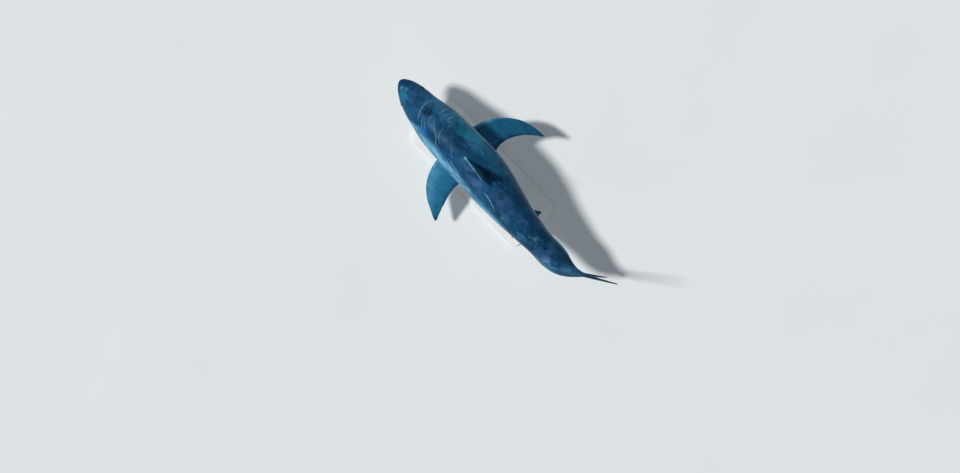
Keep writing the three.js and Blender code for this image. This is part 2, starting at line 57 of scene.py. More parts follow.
LENGTH = 4.0
SPINE_HEIGHT = 0.8
HEADINGS = [
    (0, -6), (0.09, -6), (0.15, 0), (0.37, 0), (0.45, -6), (0.52, -6),
    (0.62, -2.5), (0.72, 0), (0.79, 3), (0.85, 22), (0.89, 34), (1, 36),
]  # degrees towards the shark's right, against share of length
ROLLS = [(0, 5.5), (0.3, 6.5), (0.6, 6.5), (0.85, 3), (1, 2.5)]  # degrees, left side down
FORM = [  # share, half width, back and belly, as shares of the length
    (0, 0, 0, 0), (0.012, 0.0195, 0.0145, -0.0125), (0.03, 0.032, 0.0235, -0.02),
    (0.05, 0.041, 0.032, -0.0265), (0.085, 0.0515, 0.0445, -0.0325), (0.118, 0.0588, 0.0545, -0.04),
    (0.135, 0.0622, 0.059, -0.061), (0.15, 0.0655, 0.0625, -0.0755), (0.19, 0.074, 0.0725, -0.087),
    (0.27, 0.0795, 0.0865, -0.099), (0.38, 0.0815, 0.095, -0.103), (0.45, 0.0795, 0.0915, -0.099),
    (0.52, 0.071, 0.082, -0.0875), (0.6, 0.0585, 0.066, -0.0695), (0.7, 0.0455, 0.0465, -0.0475),
    (0.79, 0.0305, 0.0305, -0.0305), (0.85, 0.0165, 0.0225, -0.0215), (0.895, 0.006, 0.014, -0.013),
]
UPPER_FULLNESS = 2.05
LOWER_FULLNESS = [(0, 2), (0.03, 2.2), (0.07, 3.6), (0.118, 3.8), (0.15, 2.5), (0.3, 2.15), (0.9, 2)]
KEEL = {"start": 0.69, "peak": 0.79, "end": 0.885, "reach": 0.05, "half_height": 0.036}
STALK_NOTCH = {"share": 0.846, "half_long": 0.013, "depth": 0.007}
JAW = [  # share, half width, upper and lower face, as shares of the length
    (0.0595, 0.006, -0.0482, -0.0505), (0.063, 0.0145, -0.0476, -0.0545), (0.07, 0.0215, -0.0464, -0.058),
    (0.085, 0.0332, -0.0438, -0.0625), (0.118, 0.0482, -0.0378, -0.0702), (0.15, 0.058, -0.03, -0.0762),
]
JAW_FULLNESS = 2.5
JAW_END = 0.158  # inside the body, behind the corner of the mouth
JAW_LIP = 0.004
TONGUE = {"front": 0.082, "full": 0.094, "half_width": 0.045, "height": 0.016}
MOUTH = {"share": 0.094, "up": -0.162, "halves": (0.126, 0.12, 0.054)}
UPPER_ARCH = {"front": 0.0555, "corner": 0.117, "half_width": 0.158, "curl": 2.3, "gum": 0.009}
LOWER_ARCH = {"front": 0.0655, "corner": 0.118, "half_width": 0.148, "curl": 2.1, "gum": 0.008}
UPPER_TEETH = {"wide": 0.027, "tall": 0.033, "thick": 0.0065, "saw": 0.0009, "count": 20, "last": 0.9}
LOWER_TEETH = {"wide": 0.02, "tall": 0.03, "thick": 0.0065, "saw": 0.0005, "count": 18, "last": 0.88}
TOOTH_ROWS = [(0, 1), (0.011, 0.8)]  # how far inside the first row, and share of its teeth's size
CORNER_TOOTH = 0.32  # share of the front tooth's size
EYE = {"share": 0.0675, "up": 0.024, "radius": 0.027, "play": 0.0004, "sunk": 0.0195, "lids": 0.0225,
       "rim_in": 0.0012, "flat": (0.044, 0.026)}
BROW = {"out": 0.034, "height": 0.0035}
HOLLOW = {"ahead": 0.055, "half_long": 0.03, "half_tall": 0.02, "depth": 0.003}
JAW_HINGE = {"share": 0.128, "up": -0.1, "height": 0.005, "reach": (0.1, 0.11, 0.07)}
GILLS = {
    "first": 0.19, "last": 0.247, "count": 5, "low": -0.72, "high": 0.46, "bow": 0.012,
    "flap": (0.009, 0.044), "dip": (-0.006, 0.022),  # height and length
    "half_open": 0.0048, "outside": 0.014, "inside": 0.02, "lean": 0.01,  # the wedge of each cut
}
NOSTRIL = {"share": 0.031, "latitude": -0.62, "half_long": 0.021, "half_wide": 0.0058, "half_deep": 0.012}

# Fins: cubic outlines in the fin's own plane, as shares of the length: back from its origin, then
# out along its span. "inner" runs from the rear of the base to the free rear tip.
SMALL_FIN = {
    "lead": [(-0.002, -0.006), (0.006, 0.004), (0.012, 0.014), (0.019, 0.0175)],
    "rear": [(0.019, 0.006), (0.0185, 0.012), (0.021, 0.017)],
    "half_thick": (0.0014, 0.0005), "inner_share": 0.25, "flare": 0.004, "nicks": [],
}
TAIL_LOBE = {
    "origin": 0.85, "inner": [(0.057, -0.002), (0.055, 0.006)],
    "half_thick": (0.0082, 0.0018), "inner_share": 0.08, "flare": 0,
}
FINS = {
    "first_dorsal_fin": {
        "origin": 0.328, "lead": [(-0.008, -0.014), (0.035, 0.03), (0.075, 0.085), (0.108, 0.103)],
        "inner": [(0.103, -0.014), (0.136, 0.012)], "rear": [(0.1, 0.017), (0.103, 0.07), (0.118, 0.101)],
        "half_thick": (0.0064, 0.0012), "inner_share": 0.16, "flare": 0.016,
        "nicks": [(0.42, 0.007), (0.53, 0.004), (0.7, 0.009), (0.86, 0.005)],
    },
    "second_dorsal_fin": {**SMALL_FIN, "origin": 0.708, "inner": [(0.015, -0.006), (0.0285, 0.0055)]},
    "anal_fin": {**SMALL_FIN, "origin": 0.728, "inner": [(0.015, -0.006), (0.0275, 0.0055)]},
    "pectoral_fin": {
        "origin": 0.2705, "lead": [(0, -0.03), (0.001, 0.056), (0.041, 0.147), (0.167, 0.176)],
        "inner": [(0.105, -0.03), (0.116, 0.014)],
        "rear": [(0.094, 0.05), (0.126, 0.127), (0.1695, 0.1745)],
        "half_thick": (0.0075, 0.0012), "inner_share": 0.2, "flare": 0.012,
        "nicks": [(0.5, 0.004), (0.76, 0.006)],
    },
    "pelvic_fin": {
        "origin": 0.588, "lead": [(0, -0.012), (0.012, 0.014), (0.028, 0.038), (0.047, 0.046)],
        "inner": [(0.04, -0.012), (0.066, 0.017)],
        "rear": [(0.049, 0.02), (0.047, 0.034), (0.05, 0.0455)],
        "half_thick": (0.0028, 0.0007), "inner_share": 0.3, "flare": 0.005, "nicks": [],
    },
    "caudal_upper_lobe": {
        **TAIL_LOBE, "lead": [(0, -0.002), (0.035, 0.03), (0.088, 0.09), (0.145, 0.15)],
        "rear": [(0.068, 0.04), (0.112, 0.08), (0.146, 0.1485)],
        "nicks": [(0.35, 0.005), (0.5, 0.008), (0.885, 0.014)],
    },
    "caudal_lower_lobe": {
        **TAIL_LOBE, "lead": [(0, -0.002), (0.03, 0.03), (0.08, 0.078), (0.127, 0.132)],
        "rear": [(0.064, 0.034), (0.1, 0.072), (0.128, 0.131)], "nicks": [(0.6, 0.006)],
    },
}
PECTORAL_BASE = {"left": 0.248, "up": -0.224, "droop": math.radians(17)}
PELVIC_BASE = {"left": 0.124, "up": -0.208, "droop": math.radians(42)}
# The left pectoral fin is held further forward than the right one, and droops less.
LEFT_PECTORAL = {
    **FINS["pectoral_fin"], "lead": [(0, -0.03), (-0.008, 0.062), (0.022, 0.152), (0.16, 0.178)],
    "rear": [(0.094, 0.05), (0.126, 0.127), (0.1705, 0.1735)],
}
LEFT_PECTORAL_BASE = {**PECTORAL_BASE, "droop": math.radians(12)}

FIN_ROOT = 0.1  # share of the length that the base of the first dorsal or a pectoral fin takes up
DORSAL_ROOT = {"height": 0.011, "reach": 0.05}

# Rings of the skin: from share, to share, how many; they are closest together on the face and gills.
RINGS = [(0, 0.03, 26), (0.03, 0.125, 92), (0.125, 0.1828125, 28), (0.1828125, 0.2540625, 70),
         (0.2540625, 0.895, 152)]
AROUND = 152
FIN_RINGS = 84
FIN_AROUND = 40
SOFT_REACH = [(0.16, 0.016), (0.46, 0.045), (0.8, 0.02), (2, 0.045)]  # up to share; reach of softening

# ---------------------------------------------------------------- curves and placing


def through(rows):
    """A smooth curve through (x, y) rows that doesn't overshoot them."""
    x, y = np.array(rows, float).T
    rise = np.diff(y) / np.diff(x)
    both = rise[:-1] * rise[1:]
    total = np.where(both > 0, rise[:-1] + rise[1:], 1)
    slope = np.concatenate([rise[:1], np.where(both > 0, 2 * both / total, 0), rise[-1:]])

    def at(value):
        inside = np.clip(value, x[0], x[-1])
        i = np.clip(np.searchsorted(x, inside, side="right") - 1, 0, len(x) - 2)
        step = x[i + 1] - x[i]
        s = (inside - x[i]) / step
        before = y[i] * (1 + 2 * s) * (1 - s) ** 2 + slope[i] * step * s * (1 - s) ** 2
        return before + y[i + 1] * s * s * (3 - 2 * s) + slope[i + 1] * step * s * s * (s - 1)

    return at


def column(table, index):
    """One column of a table of shares, in metres; read against the root of the share for a round nose."""
    curve = through([(math.sqrt(row[0]), row[index] * LENGTH) for row in table])
    return lambda share: curve(np.sqrt(np.maximum(share, 0)))


half_width, back, belly = (column(FORM, i) for i in (1, 2, 3))
jaw_half, jaw_top, jaw_under = (column(JAW, i) for i in (1, 2, 3))
lower_fullness = through(LOWER_FULLNESS)
heading = through(HEADINGS)
roll = through(ROLLS)


def spine_line():
    """The spine on the floor plan at even shares of the length, before it is centred."""
    steps = 4000
    angle = np.radians(heading((np.arange(steps) + 0.5) / steps))
    walk = np.cumsum(np.stack([-np.sin(angle), np.cos(angle)], 1) * (LENGTH / steps), 0)
    return np.concatenate([[(0, 0)], walk])


SPINE = spine_line()


def bent(points):
    """Points of the straight shark, bent along the spine, rolled and lifted, before centring."""
    left, behind, up = np.asarray(points, float).T
    share = behind / LENGTH
    even = np.linspace(0, 1, len(SPINE))
    on_x, on_y = (np.interp(share, even, SPINE[:, k]) for k in (0, 1))
    angle, bank = np.radians(heading(share)), np.radians(roll(share))
    side = left * np.cos(bank) + up * np.sin(bank)
    height = up * np.cos(bank) - left * np.sin(bank)
    return np.stack([on_x + side * np.cos(angle), on_y + side * np.sin(angle), SPINE_HEIGHT + height], 1)


def spot(share, left=0.0, up=0.0):
    """One point of the straight shark."""
    return np.array([left, share * LENGTH, up], float)


ROD_SHARES = (0.275, 0.535)  # where the stand's two rods meet the belly


def centring():
    """The move that sets the bent shark in the frame, from where its stand's base lies there."""
    unders = bent([spot(share, 0, belly(share)) for share in ROD_SHARES])
    low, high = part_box("stand_base")
    middle = (np.array(low) + np.array(high)) / 2
    return np.array([*(middle[:2] - unders[:, :2].mean(0)), 0.0])


CENTRING = centring()


def place(points):
    """Points of the straight shark, in the frame."""
    return bent(points) + CENTRING


def smooth_step(low, high, value):
    s = np.clip((value - low) / (high - low), 0, 1)
    return s * s * (3 - 2 * s)


def bell(away, wide):
    """1 in the middle, about a third at its width, and soon nothing beyond."""
    return np.exp(-((away / wide) ** 2))


def unit(vector):
    return vector / np.linalg.norm(vector)


def full_turn(count):
    """Evenly spaced angles round a whole turn."""
    return np.arange(count) / count * 2 * math.pi


def mirrored(side):
    """What a point of the left side is multiplied by to lie on a side: 1 is left, -1 right."""
    return np.array([side, 1, 1])


def on_left(points):
    """The same points, those of the right side mirrored to the left."""
    return np.abs(points * [1, 0, 0]) + points * [0, 1, 1]


def keel_reach(share):
    """How far the keel stands out of the side of the tail stalk."""
    half = np.where(share < KEEL["peak"], KEEL["peak"] - KEEL["start"], KEEL["end"] - KEEL["peak"])
    away = np.minimum(np.abs(share - KEEL["peak"]) / half, 1)
    return KEEL["reach"] * (1 - away * away) ** 2


def section(share, turn, grow=0.0):
    """A point on the body's section, left and up: turn 0 is the left side, a quarter turn the back."""
    across, along = np.cos(turn), np.sin(turn)
    power = 2 / np.where(along >= 0, UPPER_FULLNESS, lower_fullness(share))
    reach = np.where(along >= 0, back(share) + grow, grow - belly(share))
    up = np.sign(along) * reach * np.abs(along) ** power
    keel = keel_reach(share) * bell(up, KEEL["half_height"])
    left = np.sign(across) * ((half_width(share) + grow) * np.abs(across) ** power + keel)
    return left, up


def latitude_of(points):
    """The section's turn above or below the widest level, for points on or near the body."""
    _, behind, up = points.T
    share = behind / LENGTH
    reach = np.where(up >= 0, back(share), -belly(share))
    power = 2 / np.where(up >= 0, UPPER_FULLNESS, lower_fullness(share))
    sine = np.clip(np.abs(up) / np.maximum(reach, 1e-6), 0, 1) ** (1 / power)
    return np.sign(up) * np.arcsin(sine)


# ---------------------------------------------------------------- meshes


def new_object(name, data):
    made = bpy.data.objects.new(name, data)
    bpy.context.scene.collection.objects.link(made)
    return made


def mesh_piece(name, points, faces):
    """A mesh object with its faces pointing outwards."""
    mesh = bpy.data.meshes.new(name)
    mesh.from_pydata(np.asarray(points).tolist(), [], [list(face) for face in faces])
    mesh.update()
    made = new_object(name, mesh)
    loose = bmesh.new()
    loose.from_mesh(mesh)
    if loose.calc_volume(signed=True) < 0:
        bmesh.ops.reverse_faces(loose, faces=loose.faces)
        loose.to_mesh(mesh)
    loose.free()
    return made


def loft_faces(rings, count):
    """Quads between rings of points, then a fan over each end around one more point each."""
    i, j = np.meshgrid(np.arange(rings - 1), np.arange(count), indexing="ij")
    here, beside = i * count + j, i * count + (j + 1) % count
    faces = np.stack([here, beside, beside + count, here + count], -1).reshape(-1, 4).tolist()
    first, last = rings * count, rings * count + 1
    end = (rings - 1) * count
    for k in range(count):
        following = (k + 1) % count
        faces.append((first, following, k))
        faces.append((last, end + k, end + following))
    return faces


def loft(name, grid):
    """A closed surface through a grid of rings, of shape rings by points by 3."""
    rings, count, _ = grid.shape
    points = np.concatenate([grid.reshape(-1, 3), [grid[0].mean(0), grid[-1].mean(0)]])
    return mesh_piece(name, points, loft_faces(rings, count))


def gathered(items, name, wide, kind=np.float32):
    """One property of a mesh's points or edges, one row to each."""
    found = np.empty(len(items) * wide, kind)
    items.foreach_get(name, found)
    return found.reshape(-1, wide)


def points_of(piece):
    """The corner points of a piece's mesh as an array."""
    return gathered(piece.data.vertices, "co", 3).astype(float)


def set_points(piece, points):
    piece.data.vertices.foreach_set("co", np.asarray(points, np.float32).ravel())
    piece.data.update()


def settle(piece):
    """Makes what a piece's modifiers show its own mesh, and removes them."""
    bpy.context.view_layer.update()
    shown = piece.evaluated_get(bpy.context.evaluated_depsgraph_get())
    mesh = bpy.data.meshes.new_from_object(shown)
    piece.modifiers.clear()
    former, piece.data = piece.data, mesh
    bpy.data.meshes.remove(former)
    mesh.name = piece.name
    return piece


def combine(piece, tool, operation):
    """Joins a tool to a piece, or cuts the piece back by it, and uses the tool up."""
    step = piece.modifiers.new("combine", "BOOLEAN")
    step.solver = "MANIFOLD"
    step.operation = operation
    step.object = tool
    settle(piece)
    bpy.data.objects.remove(tool)
    return piece


def store(piece, name, values, kind="FLOAT"):
    """Keeps a value or a vector for each corner point, for the materials to read."""
    layer = piece.data.attributes.get(name) or piece.data.attributes.new(name, kind, "POINT")
    key = "vector" if kind == "FLOAT_VECTOR" else "value"
    layer.data.foreach_set(key, np.asarray(values, np.float32).ravel())


def kept(piece, name, wide=1):
    """Reads back what store kept."""
    key = "vector" if wide == 3 else "value"
    found = gathered(piece.data.attributes[name].data, key, wide).astype(float)
    return found if wide > 1 else found[:, 0]


def finish_surface(piece, material, sharp=40):
    """Smooth shading with hard edges only where the form turns sharply, and one material."""
    piece.data.shade_smooth()
    piece.data.set_sharp_from_angle(angle=math.radians(sharp))
    piece.data.materials.clear()
    piece.data.materials.append(material)
    return piece


# ---------------------------------------------------------------- the flesh, on the straight shark


def ring_at(share, left, up):
    """A ring of points across the straight shark."""
    return np.stack([left, np.full(len(left), share * LENGTH), up], 1)


def into_place(piece):
    """Bends a piece made on the straight shark into the frame."""
    set_points(piece, place(points_of(piece)))
    return piece


def ring_shares():
    """Where the rings of the skin lie; on the snout they are closest at its tip."""
    _, nose, count = RINGS[0]
    shares = [nose * ((i + 1) / count) ** 2 for i in range(count)]
    for start, end, count in RINGS[1:]:
        shares += [start + (end - start) * (i + 1) / count for i in range(count)]
    return np.array(shares)


def even_turns(share):
    """Turns that space the points of a ring evenly in each quarter of its section."""
    turns = []
    for quarter in range(4):
        fine = np.linspace(quarter, quarter + 1, 91) * math.pi / 2
        left, up = section(share, fine)
        run = np.concatenate([[0], np.cumsum(np.hypot(np.diff(left), np.diff(up)))])
        turns.append(np.interp(np.arange(AROUND // 4) / (AROUND // 4) * run[-1], run, fine))
    return np.concatenate(turns)


def gill_part(latitude):
    """How far up a gill slit a point lies, 0 at its lower and 1 at its upper end."""
    return (latitude - GILLS["low"]) / (GILLS["high"] - GILLS["low"])


def gill_shares():
    return np.linspace(GILLS["first"], GILLS["last"], GILLS["count"])


def gill_bow(latitude):
    """How far forward the slits curve, as a share of the length."""
    return GILLS["bow"] * np.sin(np.pi * np.clip(gill_part(latitude), 0, 1))


def gill_relief(share, latitude):
    """The flap in front of each slit swells and the skin behind it dips; shares are those of the rings."""
    swell = np.sin(np.pi * np.clip(gill_part(latitude), 0, 1)) ** 0.7
    relief = np.zeros_like(share)
    for slit in gill_shares():
        past = (share - slit) * LENGTH
        for (height, long), here in ((GILLS["flap"], past <= 0), (GILLS["dip"], past > 0)):
            relief += swell * height * np.clip(1 - np.abs(past) / long, 0, 1) ** 2 * here
    return relief


def eye_turn():
    """The section's turn at the middle of an eye's opening."""
    return math.asin(EYE["up"] / float(back(EYE["share"])))


def eye_ball():
    """The middle of the left eyeball, and the way it looks out."""
    share, turn = EYE["share"], eye_turn()
    steps = [(share - 0.002, turn), (share + 0.002, turn), (share, turn - 0.05), (share, turn + 0.05)]
    ahead, astern, under, over = (spot(at, *map(float, section(at, angle))) for at, angle in steps)
    gaze = np.cross(over - under, ahead - astern)
    gaze *= np.sign(gaze[0]) / np.linalg.norm(gaze)
    return spot(share, float(section(share, turn)[0]) - EYE["sunk"], EYE["up"]), gaze


def eye_rim():
    """The middle of the flat that the left eye's lids stand on."""
    middle, gaze = eye_ball()
    return middle + gaze * (EYE["sunk"] * gaze[0] - EYE["rim_in"])


def face_relief(points):
    """The flat, the brow and the hollow round each eye, and the bulge over the hinge of the jaw."""
    points = on_left(points)
    gaze, rim = eye_ball()[1], eye_rim()
    away = points - rim
    distance = np.linalg.norm(away, axis=1)
    flat = -(away @ gaze) * smooth_step(*EYE["flat"], distance)
    brow = BROW["height"] * bell(distance - BROW["out"], 0.01) * smooth_step(-0.004, 0.02, away[:, 2])
    along, over = (away[:, 1] + HOLLOW["ahead"]) / HOLLOW["half_long"], away[:, 2] / HOLLOW["half_tall"]
    hollow = -HOLLOW["depth"] * np.exp(-(along ** 2) - over ** 2)
    hinge_at = spot(JAW_HINGE["share"], float(half_width(JAW_HINGE["share"])), JAW_HINGE["up"])
    hinge = JAW_HINGE["height"] * bell(np.linalg.norm((points - hinge_at) / JAW_HINGE["reach"], axis=1), 1)
    return flat + brow + hollow + hinge


def stalk_relief(share, latitude):
    """The notch across the top and bottom of the tail stalk, just before the tail fin."""
    along = bell((share - STALK_NOTCH["share"]) * LENGTH, STALK_NOTCH["half_long"])
    return -STALK_NOTCH["depth"] * along * bell(np.abs(latitude) - math.pi / 2, 0.7)


def root_relief(share, points):
    """The skin rises a little towards the base of the first dorsal fin."""
    start = FINS["first_dorsal_fin"]["origin"]
    beyond = (np.maximum(start - share, 0) + np.maximum(share - (start + FIN_ROOT), 0)) * LENGTH
    rise = bell(np.hypot(points[:, 0], beyond), DORSAL_ROOT["reach"]) * (points[:, 2] > 0)
    return DORSAL_ROOT["height"] * rise


def body_form():
    """The body from snout to tail stalk, with the relief of its face, gills and stalk."""
    shares = ring_shares()
    grid = np.empty((len(shares), AROUND, 3))
    turns = np.array([even_turns(share) for share in shares])
    latitudes = np.arcsin(np.sin(turns))
    follow = smooth_step(0.15, 0.182, shares) * smooth_step(0.29, 0.252, shares)
    drawn = shares[:, None] - gill_bow(latitudes) * follow[:, None]
    for i in range(len(shares)):
        left, up = section(drawn[i], turns[i])
        grid[i] = np.stack([left, drawn[i] * LENGTH, up], 1)
    along = np.gradient(grid, axis=0)
    around = np.roll(grid, -1, 1) - np.roll(grid, 1, 1)
    outward = np.cross(around, along)
    outward /= np.linalg.norm(outward, axis=2, keepdims=True)
    flat, share = grid.reshape(-1, 3), np.repeat(shares, AROUND)
    latitude = latitudes.ravel()
    relief = gill_relief(share, latitude) + face_relief(flat)
    relief += stalk_relief(share, latitude) + root_relief(share, flat)
    return loft("shark_skin", (flat + outward.reshape(-1, 3) * relief[:, None]).reshape(grid.shape))


def jaw_form():
    """The lower jaw, with a lip round its rim and a low tongue on its floor."""
    power = 2 / JAW_FULLNESS
    turn = full_turn(72)
    tip = JAW[0][0]
    rings = []
    for step in np.linspace(0, 1, 80) ** 1.6:
        share = tip + (JAW_END - tip) * step
        blunt = math.sqrt(1 - (1 - min((share - tip) / 0.004 + 0.02, 1)) ** 2)
        across = np.sign(np.cos(turn)) * np.abs(np.cos(turn)) ** power * blunt
        drop = np.maximum(-np.sin(turn), 0) ** power * blunt
        top = jaw_top(share) + 0.0015 * np.maximum(np.sin(turn), 0)
        left = across * jaw_half(share)
        tongue = TONGUE["height"] * smooth_step(TONGUE["front"], TONGUE["full"], share)
        tongue = tongue * np.exp(-((left / TONGUE["half_width"]) ** 4))
        lip = JAW_LIP * bell(1 - np.abs(across), 0.1) * smooth_step(0.15, 0.11, share)
        up = top + np.where(np.sin(turn) > 0, tongue + lip, 0) - drop * (jaw_top(share) - jaw_under(share))
        rings.append(ring_at(share, left, up))
    return loft("jaw", np.array(rings))


def cubic(points, at):
    """A cubic curve through two ends, drawn by its two middle points."""
    a, b, c, d = (np.array(point, float) for point in points)
    s = at[:, None]
    return a * (1 - s) ** 3 + 3 * b * s * (1 - s) ** 2 + 3 * c * s * s * (1 - s) + d * s ** 3


def fin_outline(fin, span):
    """The leading and trailing edge of a fin, as shares of the length, for an array of spans."""
    base_rear, free_tip = (np.array(point, float) for point in fin["inner"])
    inner = np.clip(span / fin["inner_share"], 0, 1)[:, None]
    beyond = np.clip((span - fin["inner_share"]) / (1 - fin["inner_share"]), 0, 1)
    rear = cubic([fin["inner"][1], *fin["rear"]], beyond)
    trail = np.where(span[:, None] < fin["inner_share"], base_rear + (free_tip - base_rear) * inner, rear)
    lead = cubic(fin["lead"], span)
    nick = sum((deep * bell(span - at, 0.011) for at, deep in fin["nicks"]), np.zeros(len(span)))
    ragged = 0.0012 * np.sin(span * 61) * np.sin(span * 37 + 1) * smooth_step(0.3, 0.5, span)
    inward = lead - trail
    inward /= np.maximum(np.linalg.norm(inward, axis=1, keepdims=True), 1e-6)
    trail = trail + inward * ((nick + ragged) / LENGTH)[:, None] * smooth_step(1, 0.96, span)[:, None]
    narrowed = np.sqrt(1 - np.clip((span - 0.95) / 0.0503, 0, 1) ** 2)[:, None]
    middle = (lead + trail) / 2
    return middle + (lead - middle) * narrowed, middle + (trail - middle) * narrowed


def fin_form(name, fin, set_in):
    """A fin's blade. "set_in" turns back, out and off-plane metres into straight-shark points."""
    size = min(fin["lead"][-1][1] / 0.1, 1) ** 0.5  # the small fins need fewer rings
    rings, count = round(FIN_RINGS * size), 4 * round(FIN_AROUND / 4 * size ** 0.5)
    span = 1 - (1 - np.linspace(0, 1, rings + 1)) ** 1.25
    lead, trail = fin_outline(fin, span)
    turn = (np.arange(count) + 0.5) / count * 2 * math.pi
    chord = (1 - np.cos(turn)) / 2
    at = (lead[:, None] + (trail - lead)[:, None] * chord[None, :, None]) * LENGTH
    thick = (fin["half_thick"][0] + (fin["half_thick"][1] - fin["half_thick"][0]) * span) * LENGTH
    thick *= np.sqrt(np.clip((1 - span) / 0.05, 0, 1)) * 0.9 + 0.1
    profile = 2.1 * np.sqrt(chord) * (1 - chord) ** 0.85 + 0.03
    flare = fin["flare"] * np.exp(-np.maximum(at[..., 1], 0) / 0.035) * (4 * chord * (1 - chord)) ** 0.6
    off = np.sign(np.sin(turn)) * (thick[:, None] * profile + flare)
    made = loft(name, set_in(at[..., 0], at[..., 1], off))
    on_blade = np.stack([np.repeat(span, count), np.tile(chord, len(span)), np.ones(at[..., 0].size)], 1)
    store(made, "blade", np.concatenate([on_blade, [(0, 0.5, 1), (1, 0.5, 1)]]), "FLOAT_VECTOR")
    return made


def on_midline(fin, surface, way):
    """Sets a fin on the midline, standing up or hanging down from a surface."""

    def set_in(behind, out, off):
        share = fin["origin"] + behind / LENGTH
        return np.stack([off, share * LENGTH, surface(share) + way * out], -1)

    return set_in


def on_side(fin, base, side):
    """Sets a fin on one side, its plane drooping outwards."""

    def set_in(behind, out, off):
        droop = base["droop"]
        left = side * (base["left"] + out * math.cos(droop) + off * math.sin(droop))
        up = base["up"] - out * math.sin(droop) + off * math.cos(droop)
        return np.stack([left, fin["origin"] * LENGTH + behind, up], -1)

    return set_in


def fin_forms():
    """Every fin as its own closed form, by name."""
    ways = {
        "first_dorsal_fin": (back, 1), "second_dorsal_fin": (back, 1), "anal_fin": (belly, -1),
        "caudal_upper_lobe": (np.zeros_like, 1), "caudal_lower_lobe": (np.zeros_like, -1),
    }
    made = {name: fin_form(name, FINS[name], on_midline(FINS[name], *way)) for name, way in ways.items()}
    paired = {
        "pectoral_fin_left": (LEFT_PECTORAL, LEFT_PECTORAL_BASE, 1),
        "pectoral_fin_right": (FINS["pectoral_fin"], PECTORAL_BASE, -1),
        "pelvic_fin_left": (FINS["pelvic_fin"], PELVIC_BASE, 1),
        "pelvic_fin_right": (FINS["pelvic_fin"], PELVIC_BASE, -1),
    }
    for name, (fin, base, side) in paired.items():
        made[name] = fin_form(name, fin, on_side(fin, base, side))
    return made


# ---------------------------------------------------------------- joining, softening and cutting


def tree_of(piece):
    return BVHTree.FromPolygons(
        [v.co for v in piece.data.vertices], [list(p.vertices) for p in piece.data.polygons]
    )


def distances(tree, points, reach):
    """How far each point is from a surface, up to a reach."""
    found = np.full(len(points), reach)
    for i, point in enumerate(points):
        nearest = tree.find_nearest(Vector(point), reach)
        if nearest[0] is not None:
            found[i] = nearest[3]
    return found


def edges_of(piece):
    return gathered(piece.data.edges, "vertices", 2, np.int32)


def relax(values, edges, weight, rounds):
    """Draws each value towards the mean of its neighbours, as much as its weight says."""
    values = values.astype(float)
    wide = values.reshape(len(values), -1)
    used = edges[(weight[edges[:, 0]] > 0) | (weight[edges[:, 1]] > 0)]
    both = np.concatenate([used, used[:, ::-1]])
    count = np.maximum(np.bincount(both[:, 0], minlength=len(values)), 1)
    for _ in range(rounds):
        for k in range(wide.shape[1]):
            mean = np.bincount(both[:, 0], wide[both[:, 1], k], len(values)) / count
            wide[:, k] += weight * 0.6 * (mean - wide[:, k])
    return wide.reshape(values.shape)


def join_flesh():
    """Body, jaw and fins as one skin, the names of its parts, and the points along their seams."""
    parts = {"body": body_form(), "lower_jaw": jaw_form(), **fin_forms()}
    names = list(parts)
    for number, piece in enumerate(parts.values()):
        store(piece, "part", np.full(len(piece.data.vertices), number))
    skin = parts.pop("body")
    for piece in parts.values():
        combine(skin, piece, "UNION")
    part, edges = kept(skin, "part"), edges_of(skin)
    return skin, names, np.unique(edges[part[edges[:, 0]] != part[edges[:, 1]]])


def soften_joins(skin, seam):
    """Rounds the creases where the parts meet."""
    points = points_of(skin)
    lines = KDTree(len(seam))
    for point in points[seam]:
        lines.insert(Vector(point), 0)
    lines.balance()
    away = np.array([lines.find(Vector(point))[2] for point in points])
    reach = np.array([soft_reach(point) for point in points])
    weight = np.maximum(1 - away / reach, 0) ** 1.5
    set_points(skin, relax(points, edges_of(skin), weight, rounds=14))


def soft_reach(point):
    """Joins are softened widely on the trunk, and narrowly at the mouth and the small fins."""
    return next(reach for end, reach in SOFT_REACH if point[1] / LENGTH < end)


def ellipsoid(name, centre, axes, sides, levels):
    """A closed ellipsoid; "axes" are its three half axes as vectors."""
    tilt = np.linspace(0, math.pi, levels + 2)[1:-1]
    turn = full_turn(sides)
    a, b, c = (np.array(axis, float) for axis in axes)
    grid = (
        np.sin(tilt)[:, None, None] * (np.cos(turn)[None, :, None] * a + np.sin(turn)[None, :, None] * b)
        + np.cos(tilt)[:, None, None] * c
        + np.array(centre)
    )
    points = np.concatenate([grid.reshape(-1, 3), [np.array(centre) + c, np.array(centre) - c]])
    return mesh_piece(name, points, loft_faces(levels, sides))


def gill_cutter(slit, side):
    """A thin wedge along one gill slit, leaning in under the flap in front of it."""
    part = np.linspace(0, 1, 61)
    latitude = GILLS["low"] + (GILLS["high"] - GILLS["low"]) * part
    swell = np.sin(np.pi * part)
    share = slit - gill_bow(latitude)
    half = GILLS["half_open"] * (0.12 + 0.88 * swell ** 0.5)
    outside, inside = GILLS["outside"] * (0.25 + 0.75 * swell), -GILLS["inside"] * swell - 0.001
    rings = []
    for shift, out in ((-half, outside), (half, outside), (-GILLS["lean"], inside)):
        left, up = section(share, latitude, out)
        rings.append(np.stack([side * left, share * LENGTH + shift, up], 1))
    return loft("gill_cutter", np.stack(rings, 1))


